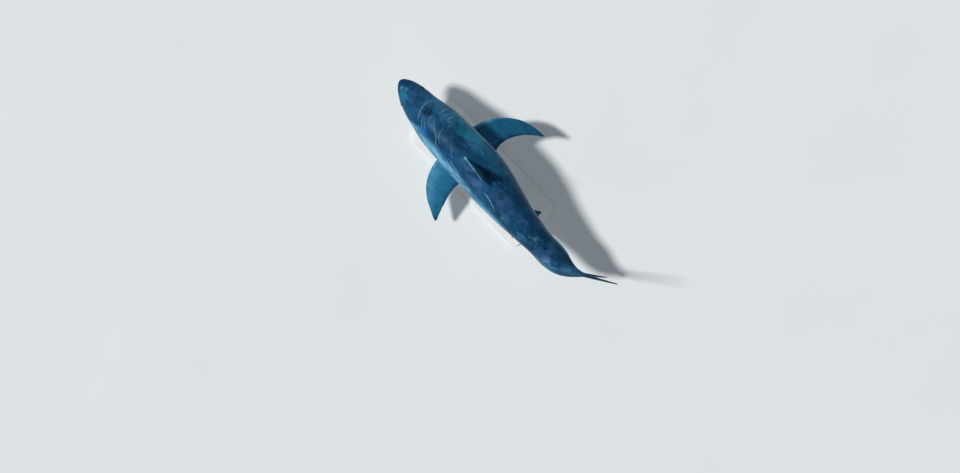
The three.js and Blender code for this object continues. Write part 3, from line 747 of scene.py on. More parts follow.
def eyelids(side):
    """A low fleshy ring round one eye."""
    gaze, rim = eye_ball()[1], eye_rim()
    along = unit(np.cross(gaze, [0, 0, 1.0]))
    upright = np.cross(along, gaze)
    rings, count = 72, 14
    around, across = full_turn(rings), full_turn(count)
    out = EYE["lids"] * (1 + 0.22 * np.cos(across))[None, :]
    spoke = np.cos(around)[:, None] * along + np.sin(around)[:, None] * upright * 0.93
    grid = rim + spoke[:, None] * out[..., None] + 0.003 * np.sin(across)[None, :, None] * gaze
    points = grid.reshape(-1, 3) * mirrored(side)
    i, j = np.meshgrid(np.arange(rings), np.arange(count), indexing="ij")
    following, beside = (i + 1) % rings, (j + 1) % count
    corners = [i * count + j, i * count + beside, following * count + beside, following * count + j]
    return mesh_piece("eyelids", points, np.stack(corners, -1).reshape(-1, 4).tolist())


def nostril_cutter(side):
    """A short slanting slit under the side of the snout."""
    turn = NOSTRIL["latitude"]
    left, up = section(NOSTRIL["share"], turn)
    ahead = np.array(section(NOSTRIL["share"] + 0.001, turn)) - (left, up)
    round_left, round_up = np.array(section(NOSTRIL["share"], turn + 0.02)) - (left, up)
    around = np.array([round_left, 0, round_up]) / math.hypot(round_left, round_up)
    along = unit(np.array([ahead[0], 0.001 * LENGTH, ahead[1]]))
    outward = np.cross(along, around)
    slant = around * 0.9 + along * 0.44
    ways = {"half_long": slant, "half_wide": np.cross(outward, slant), "half_deep": outward}
    axes = [way * NOSTRIL[half] * mirrored(side) for half, way in ways.items()]
    return ellipsoid("nostril_cutter", spot(NOSTRIL["share"], left, up) * mirrored(side), axes, 32, 16)


def cut_openings(skin):
    """The mouth, eye sockets, nostrils and gill slits; says how deep in a cut each point lies."""
    whole = tree_of(skin)
    middle = spot(MOUTH["share"], 0, MOUTH["up"])
    combine(skin, ellipsoid("mouth_cutter", middle, np.diag(MOUTH["halves"]), 96, 64), "DIFFERENCE")
    for side in (1, -1):
        combine(skin, eyelids(side), "UNION")
        eye, halves = eye_ball()[0] * mirrored(side), np.eye(3) * (EYE["radius"] + EYE["play"])
        combine(skin, ellipsoid("socket_cutter", eye, halves, 64, 48), "DIFFERENCE")
        combine(skin, nostril_cutter(side), "DIFFERENCE")
        for slit in gill_shares():
            combine(skin, gill_cutter(slit, side), "DIFFERENCE")
    return distances(whole, points_of(skin), 0.05)


# ---------------------------------------------------------------- what the hide's material reads

# The edge between dark back and white belly, left (1) and right (-1): latitude in degrees, against share.
COLOUR_LINE = {
    1: [(0, -14), (0.03, -20), (0.07, -14), (0.12, -4), (0.17, 1), (0.215, -4), (0.25, -20), (0.272, -38),
        (0.305, -38), (0.335, -18), (0.37, -2), (0.42, 1), (0.48, -4), (0.6, -8), (0.7, -10), (0.8, -20),
        (0.86, -35), (0.875, -90)],
    -1: [(0, -14), (0.03, -20), (0.07, -14), (0.12, -4), (0.17, -2), (0.215, -8), (0.25, -24), (0.272, -38),
         (0.31, -38), (0.345, -20), (0.38, -6), (0.43, -4), (0.48, -6), (0.6, -8), (0.7, -12), (0.8, -22),
         (0.86, -35), (0.875, -90)],
}
# The pale band is the paler flank, and on the left it reaches higher and is stronger as painted light from
# the key light.
PALE_BAND = {  # over the flanks: latitude of its upper edge in degrees, and strength, against share
    "top": [(0, 10), (0.11, 18), (0.16, 42), (0.24, 47), (0.32, 45), (0.42, 39), (0.48, 31), (0.55, 30),
            (0.62, 20), (0.7, 16), (0.86, 8)],
    "strength": [(0, 0), (0.1, 0.5), (0.15, 1), (0.5, 1), (0.6, 0.8), (0.8, 0.45), (0.9, 0)],
}
# Marks on the upper side of the hide, some of them painted light and shade: left, back from the snout tip,
# their half sizes both ways in metres, and strength.
MARKS = {
    # Dark marks, partly painted shade: the patch on the nape at (-0.06, 0.568) is painted shade, and those
    # right of the first dorsal fin, at (-0.1, 1.42), (-0.12, 1.7) and (-0.17, 1.95), are its painted cast
    # shadow.
    "dark": [
        (-0.06, 0.568, 0.085, 0.08, 1.0), (0.02, 0.36, 0.1, 0.1, 0.4), (-0.06, 1.0, 0.12, 0.16, 0.5),
        (0.0, 1.25, 0.1, 0.12, 0.6), (-0.1, 1.42, 0.07, 0.14, 0.4), (-0.17, 1.95, 0.08, 0.25, 0.4),
        (-0.03, 2.2, 0.07, 0.1, 0.4), (-0.13, 2.5, 0.06, 0.2, 0.5), (0.0, 2.64, 0.11, 0.13, 0.5),
        (-0.03, 3.06, 0.08, 0.12, 0.4), (-0.12, 1.7, 0.06, 0.12, 0.7),
    ],
    # Pale marks are painted glints and sparkles: on the snout, along the back and on the tail stalk.
    "pale": [
        (0.11, 2.28, 0.05, 0.09, 0.3), (0.035, 0.12, 0.03, 0.05, 0.45), (0.11, 2.62, 0.03, 0.12, 0.25),
        (-0.01, 2.75, 0.035, 0.06, 0.4), (0.105, 3.12, 0.02, 0.12, 0.5), (0.0, 3.36, 0.06, 0.1, 0.25),
    ],
    "violet": [
        (0.13, 1.7, 0.06, 0.22, 0.9), (0.07, 1.46, 0.05, 0.12, 0.6), (0.0, 2.06, 0.08, 0.13, 0.7),
        (-0.18, 1.3, 0.08, 0.14, 0.6), (-0.04, 2.42, 0.07, 0.08, 0.5), (-0.13, 0.46, 0.06, 0.06, 0.5),
        (-0.19, 0.74, 0.08, 0.18, 0.6),
        (0.02, 1.0, 0.06, 0.08, 0.4), (0.07, 3.0, 0.05, 0.14, 0.7), (0.02, 0.25, 0.08, 0.07, 0.3),
    ],
    # Teal marks are painted light: the brighter teal of refracted light on the shoulders and flanks, laid on
    # as tone.
    "teal": [
        (-0.28, 1.22, 0.09, 0.3, 1.0), (-0.29, 0.92, 0.06, 0.16, 0.8), (0.1, 0.2, 0.05, 0.1, 0.4),
        (-0.2, 1.75, 0.06, 0.3, 0.4), (0.26, 2.1, 0.05, 0.5, 0.4), (-0.22, 0.7, 0.1, 0.4, 0.4),
        (-0.24, 1.25, 0.1, 0.4, 0.6),
    ],
    "blue": [(0.17, 0.71, 0.04, 0.09, 0.6), (0.12, 1.2, 0.06, 0.12, 0.25), (-0.06, 0.13, 0.04, 0.06, 0.3)],
}


def above_colour_line(points, facing_up, part, span):
    """Metres above the edge of the dark back, below 0 on the white belly."""
    share, latitude = points[:, 1] / LENGTH, latitude_of(points)
    radius = (half_width(share) + back(share)) / 2
    line = np.where(points[:, 0] >= 0, through(COLOUR_LINE[1])(share), through(COLOUR_LINE[-1])(share))
    above = (latitude - np.radians(line)) * radius + 0.05 * smooth_step(0.02, 0.0, share)
    on_fins = {
        "lower_jaw": -0.08,
        "pectoral_fin": facing_up * 0.07 + 0.012 + 0.1 * smooth_step(0.84, 0.97, span),
        "pelvic_fin": facing_up * 0.06 + 0.002,
        "anal_fin": -0.03 + 0.05 * span,
    }
    for name, mask in part.items():
        if name != "body":
            kind = name.removesuffix("_left").removesuffix("_right")
            above = np.where(mask, on_fins.get(kind, 0.1), above)
    return np.clip(above, -0.2, 0.3)


def marks(points, rows):
    """How strongly the marks cover each point; their outlines wander."""
    left, behind, up = points.T
    wander = 0.03 * np.sin(behind * 31 + left * 17) * np.sin(left * 43 - behind * 11 + 1)
    total = np.zeros(len(points))
    for at_left, at_behind, wide, long, strength in rows:
        away = ((left + wander - at_left) / wide) ** 2 + ((behind - wander * 1.5 - at_behind) / long) ** 2
        total = np.maximum(total, strength * np.exp(-(away ** 1.3)))
    return total * smooth_step(-0.03, 0.03, up)


def dark_shade(points, part, span):
    """Darker skin on the eyelids, behind the bases of the pectoral fins, and on the tail fin."""
    sides = on_left(points)
    lids = 0.75 * smooth_step(0.034, 0.021, np.linalg.norm(sides - eye_rim(), axis=1))
    root = FINS["pectoral_fin"]["origin"] + FIN_ROOT
    axil = spot(root, PECTORAL_BASE["left"] + 0.03, PECTORAL_BASE["up"] + 0.01)
    behind_fin = 0.8 * bell(np.linalg.norm((sides - axil) / [1, 1.6, 0.7], axis=1), 0.06)
    tail = 0.75 * (part["caudal_upper_lobe"] | part["caudal_lower_lobe"]) * smooth_step(0.02, 0.4, span)
    return np.maximum(np.maximum(lids, tail), behind_fin * part["body"])


def worn_and_lit_edges(points, part, span, chord):
    """Paler edges, partly wear and partly painted highlight: the front and tip of the first dorsal fin, the
    fronts of the pectorals, painted light over the front of the left pectoral, and painted highlight along
    the keels.
    """
    dorsal = smooth_step(0.08, 0.01, chord) + 0.7 * smooth_step(0.86, 0.99, span)
    dorsal = np.minimum(dorsal, 1) * part["first_dorsal_fin"]
    both = part["pectoral_fin_left"] | part["pectoral_fin_right"]
    paired = 0.6 * smooth_step(0.14, 0.03, chord) * smooth_step(0.75, 0.3, span) * both
    # The left pectoral's paler front is painted light from the key light on the left.
    lit = 0.32 * smooth_step(0.55, 0.1, chord) * smooth_step(1.0, 0.6, span) * part["pectoral_fin_left"]
    share = points[:, 1] / LENGTH
    # The keels' pale edge is a painted highlight.
    keels = 0.45 * bell(points[:, 2], 0.012) * smooth_step(0.75, 0.79, share) * (share < 0.87)
    return dorsal + np.maximum(paired, lit) + keels * part["body"]


def pale_flank(points):
    """The paler band along the upper left flank, widest behind the gills, and a narrow one on the right; the
    left band's height and strength are partly painted light, where the key light falls on that flank.
    """
    share, latitude = points[:, 1] / LENGTH, np.degrees(latitude_of(points))
    high, along = (through(PALE_BAND[key])(share) for key in ("top", "strength"))
    left = smooth_step(-14, 9, high - latitude) * along * (points[:, 0] > 0)
    above_right = 0.35 * smooth_step(0, 12, high - 30 - latitude)
    right = np.maximum(above_right, 0.8 * smooth_step(17, 1, latitude)) * along * (points[:, 0] < 0)
    return (left + right) * smooth_step(-0.12, -0.02, points[:, 2])


def grey_flank(points):
    """The greyer skin low on both flanks, where the back meets the belly."""
    share, latitude = points[:, 1] / LENGTH, np.degrees(latitude_of(points))
    along = smooth_step(0.06, 0.16, share) * smooth_step(0.88, 0.6, share)
    return 0.75 * smooth_step(20, 2, latitude) * along * smooth_step(-0.13, -0.03, points[:, 2])


def inside_mouth(points):
    """1 on the palate and the floor of the mouth, inside the arches of the gums."""
    left, behind, up = points.T
    share = behind / LENGTH
    mask = np.zeros(len(points))
    for arch, surface in ((UPPER_ARCH, belly(share)), (LOWER_ARCH, jaw_top(share))):
        along = np.clip(np.abs(left) / arch["half_width"], 0, 1)
        front = arch["front"] + (arch["corner"] - arch["front"]) * along ** arch["curl"]
        inside = smooth_step(front - 0.001, front + 0.001, share)
        if arch is UPPER_ARCH:
            close = smooth_step(-0.012, -0.002, -np.abs(up - surface))
        else:
            close = smooth_step(-0.03, -0.004, up - surface) * (up < surface + 0.03)
        mask = np.maximum(mask, inside * close * (share < 0.13) * (np.abs(left) < arch["half_width"]))
    ball = np.linalg.norm((points - spot(MOUTH["share"], 0, MOUTH["up"])) / MOUTH["halves"], axis=1)
    return np.maximum(mask, (ball < 1.02) * 1.0)


def shark_skin(material):
    """One skin over the whole animal, from the snout to the tips of the tail."""
    skin, names, seam = join_flesh()
    soften_joins(skin, seam)
    depth = cut_openings(skin)
    points, edges = points_of(skin), edges_of(skin)
    number, blade = kept(skin, "part"), kept(skin, "blade", 3)
    part = {name: number == i for i, name in enumerate(names)}
    all_round = np.ones(len(points))
    facing_up = gathered(skin.data.vertex_normals, "vector", 3)[:, 2].astype(float)
    above = above_colour_line(points, facing_up, part, blade[:, 0])
    blade[:, 2] = relax(blade[:, 2], edges, all_round, rounds=4)
    mouth = inside_mouth(points)
    store(skin, "straight", points, "FLOAT_VECTOR")
    store(skin, "above_line", relax(above, edges, all_round, rounds=2))
    store(skin, "blade", blade, "FLOAT_VECTOR")
    tones = {name: marks(points, rows) * part["body"] for name, rows in MARKS.items()}
    # The pale tone joins the pale marks, which are painted glints, the paler flank, which is partly painted
    # light, and the paler fin edges, which are partly wear and partly painted highlight.
    tones["pale"] = np.maximum(tones["pale"], pale_flank(points) * part["body"])
    tones["pale"] = np.maximum(tones["pale"], worn_and_lit_edges(points, part, blade[:, 0], blade[:, 1]))
    tones["grey"] = grey_flank(points) * part["body"]
    tones["dark"] = np.maximum(tones["dark"], dark_shade(points, part, blade[:, 0]))
    # The pectorals carry more of the lighter fin teal, the left one most: painted light, the left fin lit and
    # the right one in shade.
    tones["fin"] = blade[:, 2] * (0.25 + 0.7 * part["pectoral_fin_left"] + 0.4 * part["pectoral_fin_right"])
    for name, tone in tones.items():
        store(skin, name, tone)
    store(skin, "mouth", mouth)
    # The walls of the cuts get painted shade in the hide.
    store(skin, "cut", smooth_step(0.0004, 0.006, depth) * (1 - mouth))
    skin.data.attributes.remove(skin.data.attributes["part"])
    set_points(skin, place(points))
    return finish_surface(skin, material)


# ---------------------------------------------------------------- colours and nodes


def srgb(red, green, blue):
    """A colour given the way a paint chart gives it, 0 to 255, as the shaders need it."""
    shares = (red / 255, green / 255, blue / 255)
    return (*(((c + 0.055) / 1.055) ** 2.4 if c > 0.04043 else c / 12.92 for c in shares), 1.0)


BACK_DARK, BACK_DEEP, BACK_MID = srgb(4, 24, 46), srgb(8, 46, 76), srgb(16, 66, 102)
BACK_PALE, BACK_VIOLET, BACK_TEAL = srgb(34, 92, 128), srgb(66, 94, 140), srgb(24, 134, 166)
BACK_BLUE, FIN_TEAL = srgb(36, 104, 172), srgb(32, 102, 136)
BACK_EDGE, FLANK_PALE, FLANK_GREY = srgb(112, 150, 172), srgb(106, 174, 210), srgb(118, 150, 172)
BELLY, BELLY_SHADE = srgb(226, 232, 234), srgb(188, 204, 212)
# The pale line colour serves the real scratches and the scars, which include caustic light lines painted as
# scars.
SCRATCH_AND_CAUSTIC, PORE, GILL_DARK = srgb(118, 166, 200), srgb(10, 24, 38), srgb(14, 14, 18)
MOUTH_PINK, MOUTH_DEEP = srgb(196, 140, 138), srgb(142, 82, 84)
GUM, GUM_DEEP, GUM_VEIN = srgb(204, 148, 146), srgb(184, 116, 116), srgb(150, 76, 80)
ENAMEL, ENAMEL_ROOT = srgb(240, 238, 230), srgb(214, 204, 180)
EYE_BLACK, EYE_RING = srgb(3, 4, 6), srgb(18, 36, 60)
PAINT, PAINT_SHADE, PAINT_SCRATCH = srgb(226, 227, 226), srgb(216, 218, 218), srgb(170, 172, 174)
STEEL, STEEL_SHADE = srgb(196, 198, 200), srgb(168, 171, 174)
RUBBER, RUBBER_DUST = srgb(20, 21, 23), srgb(40, 42, 44)
FLOOR, FLOOR_SHADE = srgb(222, 226, 228), srgb(216, 221, 224)


def put(tree, kind, given=(), **settings):
    """Adds a node; "given" pairs an input's name or number with a value or another node's output."""
    made = tree.nodes.new(kind)
    for name, value in settings.items():
        setattr(made, name, value)
    for key, value in dict(given).items():
        if isinstance(value, bpy.types.NodeSocket):
            tree.links.new(value, made.inputs[key])
        else:
            made.inputs[key].default_value = value
    return made


def reckon(tree, operation, *values, clamp=False):
    """A sum of one to three values."""
    given = dict(enumerate(values))
    return put(tree, "ShaderNodeMath", given, operation=operation, use_clamp=clamp).outputs[0]


def times(tree, first, second, clamp=False):
    return reckon(tree, "MULTIPLY", first, second, clamp=clamp)


def vectors(tree, operation, *values, output="Vector"):
    """A sum of vectors; its output is "Value" where it gives a number."""
    return put(tree, "ShaderNodeVectorMath", dict(enumerate(values)), operation=operation).outputs[output]


def split(tree, vector):
    apart = put(tree, "ShaderNodeSeparateXYZ", {"Vector": vector}).outputs
    return [apart[axis] for axis in "XYZ"]


def ramp(tree, value, low, high, to_low=0.0, to_high=1.0):
    """A soft step: to_low below low, to_high above high."""
    given = {"Value": value, "From Min": low, "From Max": high, "To Min": to_low, "To Max": to_high}
    return put(tree, "ShaderNodeMapRange", given, interpolation_type="SMOOTHSTEP").outputs[0]


def mixed(tree, amount, first, second):
    """Two colours mixed by an amount."""
    made = put(tree, "ShaderNodeMix", {0: amount, 6: first, 7: second}, data_type="RGBA")
    made.clamp_factor = True
    return made.outputs[2]


def tint(tree, colour, over, value, low, high, most=1.0):
    """A colour with another laid over it where a value rises from low to high."""
    return mixed(tree, ramp(tree, value, low, high, 0.0, most), colour, over)


def plain_noise(tree, at, **values):
    return put(tree, "ShaderNodeTexNoise", {"Vector": at, **values}).outputs


def noise(tree, at, scale, detail, rough=0.55, stretch=(1, 1, 1), shift=(0, 0, 0), bend=0.0):
    """A fractal noise from 0 to 1 on the given coordinates, stretched and shifted."""
    moved = put(tree, "ShaderNodeMapping", {"Vector": at, "Location": shift, "Scale": stretch}).outputs[0]
    return plain_noise(tree, moved, Scale=scale, Detail=detail, Roughness=rough, Distortion=bend)["Fac"]


def read(tree, name, kind="Fac"):
    """A value kept on the piece's points."""
    return put(tree, "ShaderNodeAttribute", attribute_name=name).outputs[kind]


def on_object(tree):
    return put(tree, "ShaderNodeTexCoord").outputs["Object"]


def new_material(name, **values):
    """A material with one principled shader; the values go straight on its sockets."""
    made = bpy.data.materials.new(name)
    made.use_nodes = True
    tree = made.node_tree
    shader = tree.nodes["Principled BSDF"]
    for key, value in values.items():
        shader.inputs[key.replace("_", " ")].default_value = value
    return made, tree, shader


def wire(tree, shader, bump=None, **values):
    """Joins outputs to the shader's sockets; "bump" is a height and how many metres it stands for."""
    if bump:
        values["Normal"] = put(tree, "ShaderNodeBump", {"Height": bump[0], "Distance": bump[1]}).outputs[0]
    for name, value in values.items():
        tree.links.new(value, shader.inputs[name.replace("_", " ")])


def new_group(name, inputs, outputs, kind="ShaderNodeTree"):
    """A node group with named inputs and outputs; gives its tree and the sockets at both ends."""
    tree = bpy.data.node_groups.new(name, kind)
    for title, wanted, *value in inputs:
        socket = tree.interface.new_socket(title, in_out="INPUT", socket_type=f"NodeSocket{wanted}")
        if value:
            socket.default_value = value[0]
    for title, wanted in outputs:
        tree.interface.new_socket(title, in_out="OUTPUT", socket_type=f"NodeSocket{wanted}")
    return tree, put(tree, "NodeGroupInput").outputs, put(tree, "NodeGroupOutput").inputs


def use(tree, group, **values):
    """Places a node group with its own values."""
    return put(tree, "ShaderNodeGroup", {k.replace("_", " "): v for k, v in values.items()}, node_tree=group)


def set_copies(tree, given, result, shape, **how):
    """Sets copies of a shape on points, makes them real meshes and gives them their finish."""
    single = put(tree, "GeometryNodeObjectInfo", {"Object": given[shape]}).outputs["Geometry"]
    copies = put(tree, "GeometryNodeInstanceOnPoints", {"Instance": single, **how}).outputs["Instances"]
    real = put(tree, "GeometryNodeRealizeInstances", {"Geometry": copies}).outputs["Geometry"]
    coat = put(tree, "GeometryNodeSetMaterial", {"Geometry": real, "Material": given["Finish"]})
    tree.links.new(coat.outputs["Geometry"], result[0])


def run_tree(piece, tree, **values):
    """Runs a geometry tree on a piece with the given inputs, and keeps what it makes as a mesh."""
    step = piece.modifiers.new(tree.name, "NODES")
    step.node_group = tree
    sockets = {s.name: s.identifier for s in tree.interface.items_tree if s.in_out == "INPUT"}
    for name, value in values.items():
        step[sockets[name.replace("_", " ")]] = value
    return settle(piece)


# ---------------------------------------------------------------- eyes, gums and teeth


def upward(share):
    """The shark's own up, in the frame, at a share of its length."""
    base, top = place([spot(share), spot(share, 0, 0.1)])
    return unit(top - base)


def eyeball(name, side, material):
    """A glossy ball, with its distance from the middle of the pupil kept for the material."""
    middle, look = eye_ball()
    centre, outside = place(np.array([middle, middle + look * 0.05]) * mirrored(side))
    gaze, up = unit(outside - centre), upward(EYE["share"])
    ball = ellipsoid(name, centre, np.array([np.cross(gaze, up), up, gaze]) * EYE["radius"], 72, 60)
    spokes = points_of(ball) - centre
    cosine = spokes @ gaze / np.linalg.norm(spokes, axis=1)
    store(ball, "from_pupil", np.arccos(np.clip(cosine, -1, 1)))
    return finish_surface(ball, material)


def arch_points(arch, along, surface, inset=0.0, rise=0.0):
    """Straight-shark points along a gum arch; along runs from -1, the right corner, to 1."""
    share = arch["front"] + inset / LENGTH + (arch["corner"] - arch["front"]) * np.abs(along) ** arch["curl"]
    left = along * (arch["half_width"] - inset * 0.6)
    return np.stack([left, share * LENGTH, surface(share) + rise], 1)


def gum(name, arch, surface, teeth, material):
    """A gum as a fleshy roll along its arch, scalloped between the teeth."""
    along = np.linspace(-1, 1, 241)
    centres = arch_points(arch, along, surface)
    ahead = np.gradient(centres, axis=0)
    ahead /= np.linalg.norm(ahead, axis=1, keepdims=True)
    across = np.cross(ahead, [0, 0, 1.0])
    run = np.concatenate([[0], np.cumsum(np.linalg.norm(np.diff(centres, axis=0), axis=1))])
    first, last = (np.interp(way * teeth["last"], along, run) for way in (-1, 1))
    tooth = (run - first) / (last - first) * (teeth["count"] - 1)
    scallop = 1 + 0.13 * np.cos(2 * math.pi * tooth)
    radius = arch["gum"] * np.sqrt(np.maximum(1 - along ** 6, 0.03)) * scallop
    turn = full_turn(20)
    spokes = np.cos(turn)[None, :, None] * across[:, None]
    spokes = spokes + np.sin(turn)[None, :, None] * np.array([0, 0, 1.05])
    made = loft(name, centres[:, None] + radius[:, None, None] * spokes)
    return finish_surface(into_place(made), material)


def tooth_shape(teeth, root, share):
    """One tooth standing on its root: flat in front, rounded behind, with a fine saw edge."""
    wide, tall, thick = (size * share for size in (teeth["wide"], teeth["tall"] + root, teeth["thick"]))
    turn = full_turn(12)
    rings = []
    for i, height in enumerate(np.linspace(0, 1, 27)):
        half = wide / 2 * ((1 - height) ** 0.92 + 0.012) * (1 + 0.18 * math.exp(-height * 9))
        half += teeth["saw"] * (i % 2) * (0.15 < height < 0.95)
        deep = thick * (0.16 + 0.84 * (1 - height) ** 0.8)
        behind = np.where(np.sin(turn) > 0, np.sin(turn) * 0.35, np.sin(turn)) * deep / 2
        curve = -0.12 * tall * height * height
        rings.append(np.stack([half * np.cos(turn), behind + curve, np.full(len(turn), height * tall)], 1))
    tooth = loft("tooth", np.array(rings))
    store(tooth, "crown", points_of(tooth)[:, 2] / tall)
    return tooth


def tooth_row_tree():
    """Teeth set evenly along a line, the largest in the middle."""
    tree, given, result = new_group(
        "tooth_row",
        [("Arch", "Geometry"), ("Tooth", "Object"), ("Teeth", "Int"), ("Corner size", "Float"),
         ("Falloff", "Float"), ("Growing way", "Vector"), ("Finish", "Material")],
        [("Row", "Geometry")], "GeometryNodeTree",
    )
    line = put(tree, "GeometryNodeMeshToCurve", {"Mesh": given["Arch"]}).outputs["Curve"]
    stations = put(tree, "GeometryNodeCurveToPoints", {"Curve": line, "Count": given["Teeth"]}, mode="COUNT")
    axes = {"Primary Axis": given["Growing way"], "Secondary Axis": stations.outputs["Tangent"]}
    turn = put(tree, "FunctionNodeAxesToRotation", axes, primary_axis="Z", secondary_axis="X")
    index = put(tree, "GeometryNodeInputIndex").outputs["Index"]
    place_in_row = reckon(tree, "DIVIDE", index, reckon(tree, "SUBTRACT", given["Teeth"], 1))
    from_middle = reckon(tree, "ABSOLUTE", reckon(tree, "SUBTRACT", times(tree, place_in_row, 2), 1))
    fall = reckon(tree, "POWER", from_middle, given["Falloff"])
    size = reckon(tree, "SUBTRACT", 1, times(tree, fall, reckon(tree, "SUBTRACT", 1, given["Corner size"])))
    set_copies(tree, given, result, "Tooth", Points=stations.outputs["Points"],
               Rotation=turn.outputs["Rotation"], Scale=size)
    return tree


def tooth_row(name, tree, arch, surface, way, teeth, row, material):
    """A row of teeth along a gum. "way" is 1 for teeth that grow up, -1 for those that grow down."""
    inset, share = TOOTH_ROWS[row]
    along = np.linspace(-teeth["last"], teeth["last"], 161) * -way
    line = place(arch_points(arch, along, surface, inset, way * arch["gum"] * 0.3))
    made = mesh_piece(name, line, [])
    steps = np.arange(len(line) - 1)
    made.data.edges.add(len(steps))
    made.data.edges.foreach_set("vertices", np.stack([steps, steps + 1], 1).ravel())
    made.data.update()
    tooth = tooth_shape(teeth, arch["gum"] * 0.6, share)
    run_tree(made, tree, Tooth=tooth, Teeth=teeth["count"] - row, Corner_size=CORNER_TOOTH, Falloff=1.3,
             Growing_way=tuple(upward(arch["front"]) * way), Finish=material)
    bpy.data.objects.remove(tooth)
    return finish_surface(made, material, 50)


# ---------------------------------------------------------------- the stand

BOARD = {"corner": 0.12, "ease": 0.005}  # radii of the board's corners and of its upper edge
SCREWS = {"count": 4, "ring": 0.074, "seed": 7}
PAD_THICK = 0.006


def turned(name, profile, at, sides=96):
    """A turned piece: a profile of (radius, height) spun about an upright axis."""
    turn = full_turn(sides)
    return loft(name, np.array([
        np.stack([at[0] + r * np.cos(turn), at[1] + r * np.sin(turn), np.full(sides, z)], 1)
        for r, z in profile
    ]))


def rounded(profile, radius=0.0015, steps=3):
    """A profile with its corners rounded."""
    points = [np.array(point, float) for point in profile]
    made = [points[0]]
    for before, corner, after in zip(points, points[1:], points[2:]):
        into, out = before - corner, after - corner
        cut = min(radius, np.linalg.norm(into) / 2.2, np.linalg.norm(out) / 2.2)
        start, end = corner + unit(into) * cut, corner + unit(out) * cut
        for s in np.linspace(0, 1, steps + 1):
            made.append(start * (1 - s) ** 2 + corner * 2 * s * (1 - s) + end * s * s)
    return made + [points[-1]]


def box_of(node):
    """The middle, the half width, the bottom and the top of a node of the stand."""
    low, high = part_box(node)
    return (low + high) / 2, (high.x - low.x) / 2, low.z, high.z


def stand_board(material):
    """The base: a thick painted board with round corners and eased edges."""
    low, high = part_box("stand_base")
    centre, half_x, half_y = (low + high) / 2, (high.x - low.x) / 2, (high.y - low.y) / 2
    corner, ease, steps = BOARD["corner"], BOARD["ease"], 14
    outline = []
    for quarter, (sx, sy) in enumerate(((1, 1), (-1, 1), (-1, -1), (1, -1))):
        for i in range(steps + 1):
            turn = (quarter + i / steps) * math.pi / 2
            outline.append((centre.x + sx * (half_x - corner) + corner * math.cos(turn),
                            centre.y + sy * (half_y - corner) + corner * math.sin(turn)))
    outline = np.array(outline)
    inward = np.array(centre[:2]) - outline
    inward /= np.abs(inward).max(1, keepdims=True)
    straight = high.z - ease
    levels = [(0.006, 0), (0.0015, 0), (0, 0.0015), (0, straight)]
    levels += [(ease * (1 - math.cos(a)), straight + ease * math.sin(a)) for a in np.linspace(0.3, 1.57, 5)]
    levels += [(0.02, high.z)]
    rings = [np.concatenate([outline + inward * cut, np.full((len(outline), 1), z)], 1) for cut, z in levels]
    return finish_surface(loft("base_board", np.array(rings)), material, 30)


def screw_ring_tree():
    """Screws set in a ring, each turned by its own angle."""
    tree, given, result = new_group(
        "screw_ring",
        [("Start", "Geometry"), ("Screw", "Object"), ("Screws", "Int"), ("Ring radius", "Float"),
         ("Centre", "Vector"), ("Seed", "Int"), ("Finish", "Material")],
        [("Ring", "Geometry")], "GeometryNodeTree",
    )
    circle = {"Vertices": given["Screws"], "Radius": given["Ring radius"]}
    ring = put(tree, "GeometryNodeMeshCircle", circle).outputs["Mesh"]
    move = put(tree, "GeometryNodeTransform", {"Geometry": ring, "Translation": given["Centre"]})
    angles = {"Min": (0, 0, 0), "Max": (0, 0, math.pi), "Seed": given["Seed"]}
    spin = put(tree, "FunctionNodeRandomValue", angles, data_type="FLOAT_VECTOR").outputs["Value"]
    set_copies(tree, given, result, "Screw", Points=move.outputs["Geometry"], Rotation=spin)
    return tree


def screw_shape():
    """A countersunk screw's dished head with a six-sided socket."""
    dome = [(0.0, -0.001), (0.0085, -0.001), (0.0085, 0.0006), (0.0068, 0.0016), (0.0, 0.0019)]
    hole = [(0.0001, 0.0004), (0.0032, 0.0004), (0.0032, 0.004), (0.0001, 0.004)]
    head = turned("screw", rounded(dome, 0.0005), (0, 0), 32)
    return combine(head, turned("socket", hole, (0, 0), 6), "DIFFERENCE")


def belly_form(grow):
    """The underside of the trunk as a plain closed form, grown outwards, for fitting the cups."""
    turn = full_turn(96)
    rings = [ring_at(share, *section(share, turn, grow)) for share in np.linspace(0.2, 0.62, 90)]
    return into_place(loft("belly_form", np.array(rings)))


def stand_post(end, steel, rubber, tree):
    """Flange with screws, rod, and cup with its rubber pad, at one end of the stand."""
    at, half, low, foot_top = box_of(f"stand_flange_{end}")
    hub = [(0.0, low), (half, low), (half, foot_top - 0.006), (half - 0.005, foot_top), (0.05, foot_top),
           (0.045, foot_top + 0.014), (0.034, foot_top + 0.018), (0.0, foot_top + 0.018)]
    flange = turned(f"flange_{end}", rounded(hub), at)
    _, half, low, top = box_of(f"stand_rod_{end}")
    rod = turned(f"rod_{end}", rounded([(0.0, low), (half, low), (half, top), (0.0, top)]), at)
    _, half, low, top = box_of(f"stand_cup_{end}")
    dish = [(0.0, low), (0.043, low), (0.045, low + 0.006), (half - 0.014, low + 0.012),
            (half, low + 0.022), (half, top), (0.0, top)]
    cup = combine(turned(f"cup_{end}", rounded(dish, 0.004, 4), at, 128), belly_form(PAD_THICK), "DIFFERENCE")
    half, top = half + 0.0015, top + PAD_THICK
    pad = turned(f"pad_{end}", [(0.0, low), (half, low), (half, top), (0.0, top)], at, 128)
    combine(pad, belly_form(PAD_THICK), "INTERSECT")
    combine(pad, belly_form(0.0003), "DIFFERENCE")
    ring, screw = mesh_piece(f"screws_{end}", [(0, 0, 0)], []), screw_shape()
    run_tree(ring, tree, Screw=screw, Screws=SCREWS["count"], Ring_radius=SCREWS["ring"],
             Centre=(at.x, at.y, foot_top), Seed=SCREWS["seed"], Finish=steel)
    bpy.data.objects.remove(screw)
    for kind, piece in {"flange": flange, "rod": rod, "cup": cup}.items():
        keep(finish_surface(piece, steel, 35), "stand_steel", f"stand_{kind}_{end}")
    keep(finish_surface(pad, rubber, 35), "stand_base")
    keep(finish_surface(ring, steel, 35), "stand_steel")
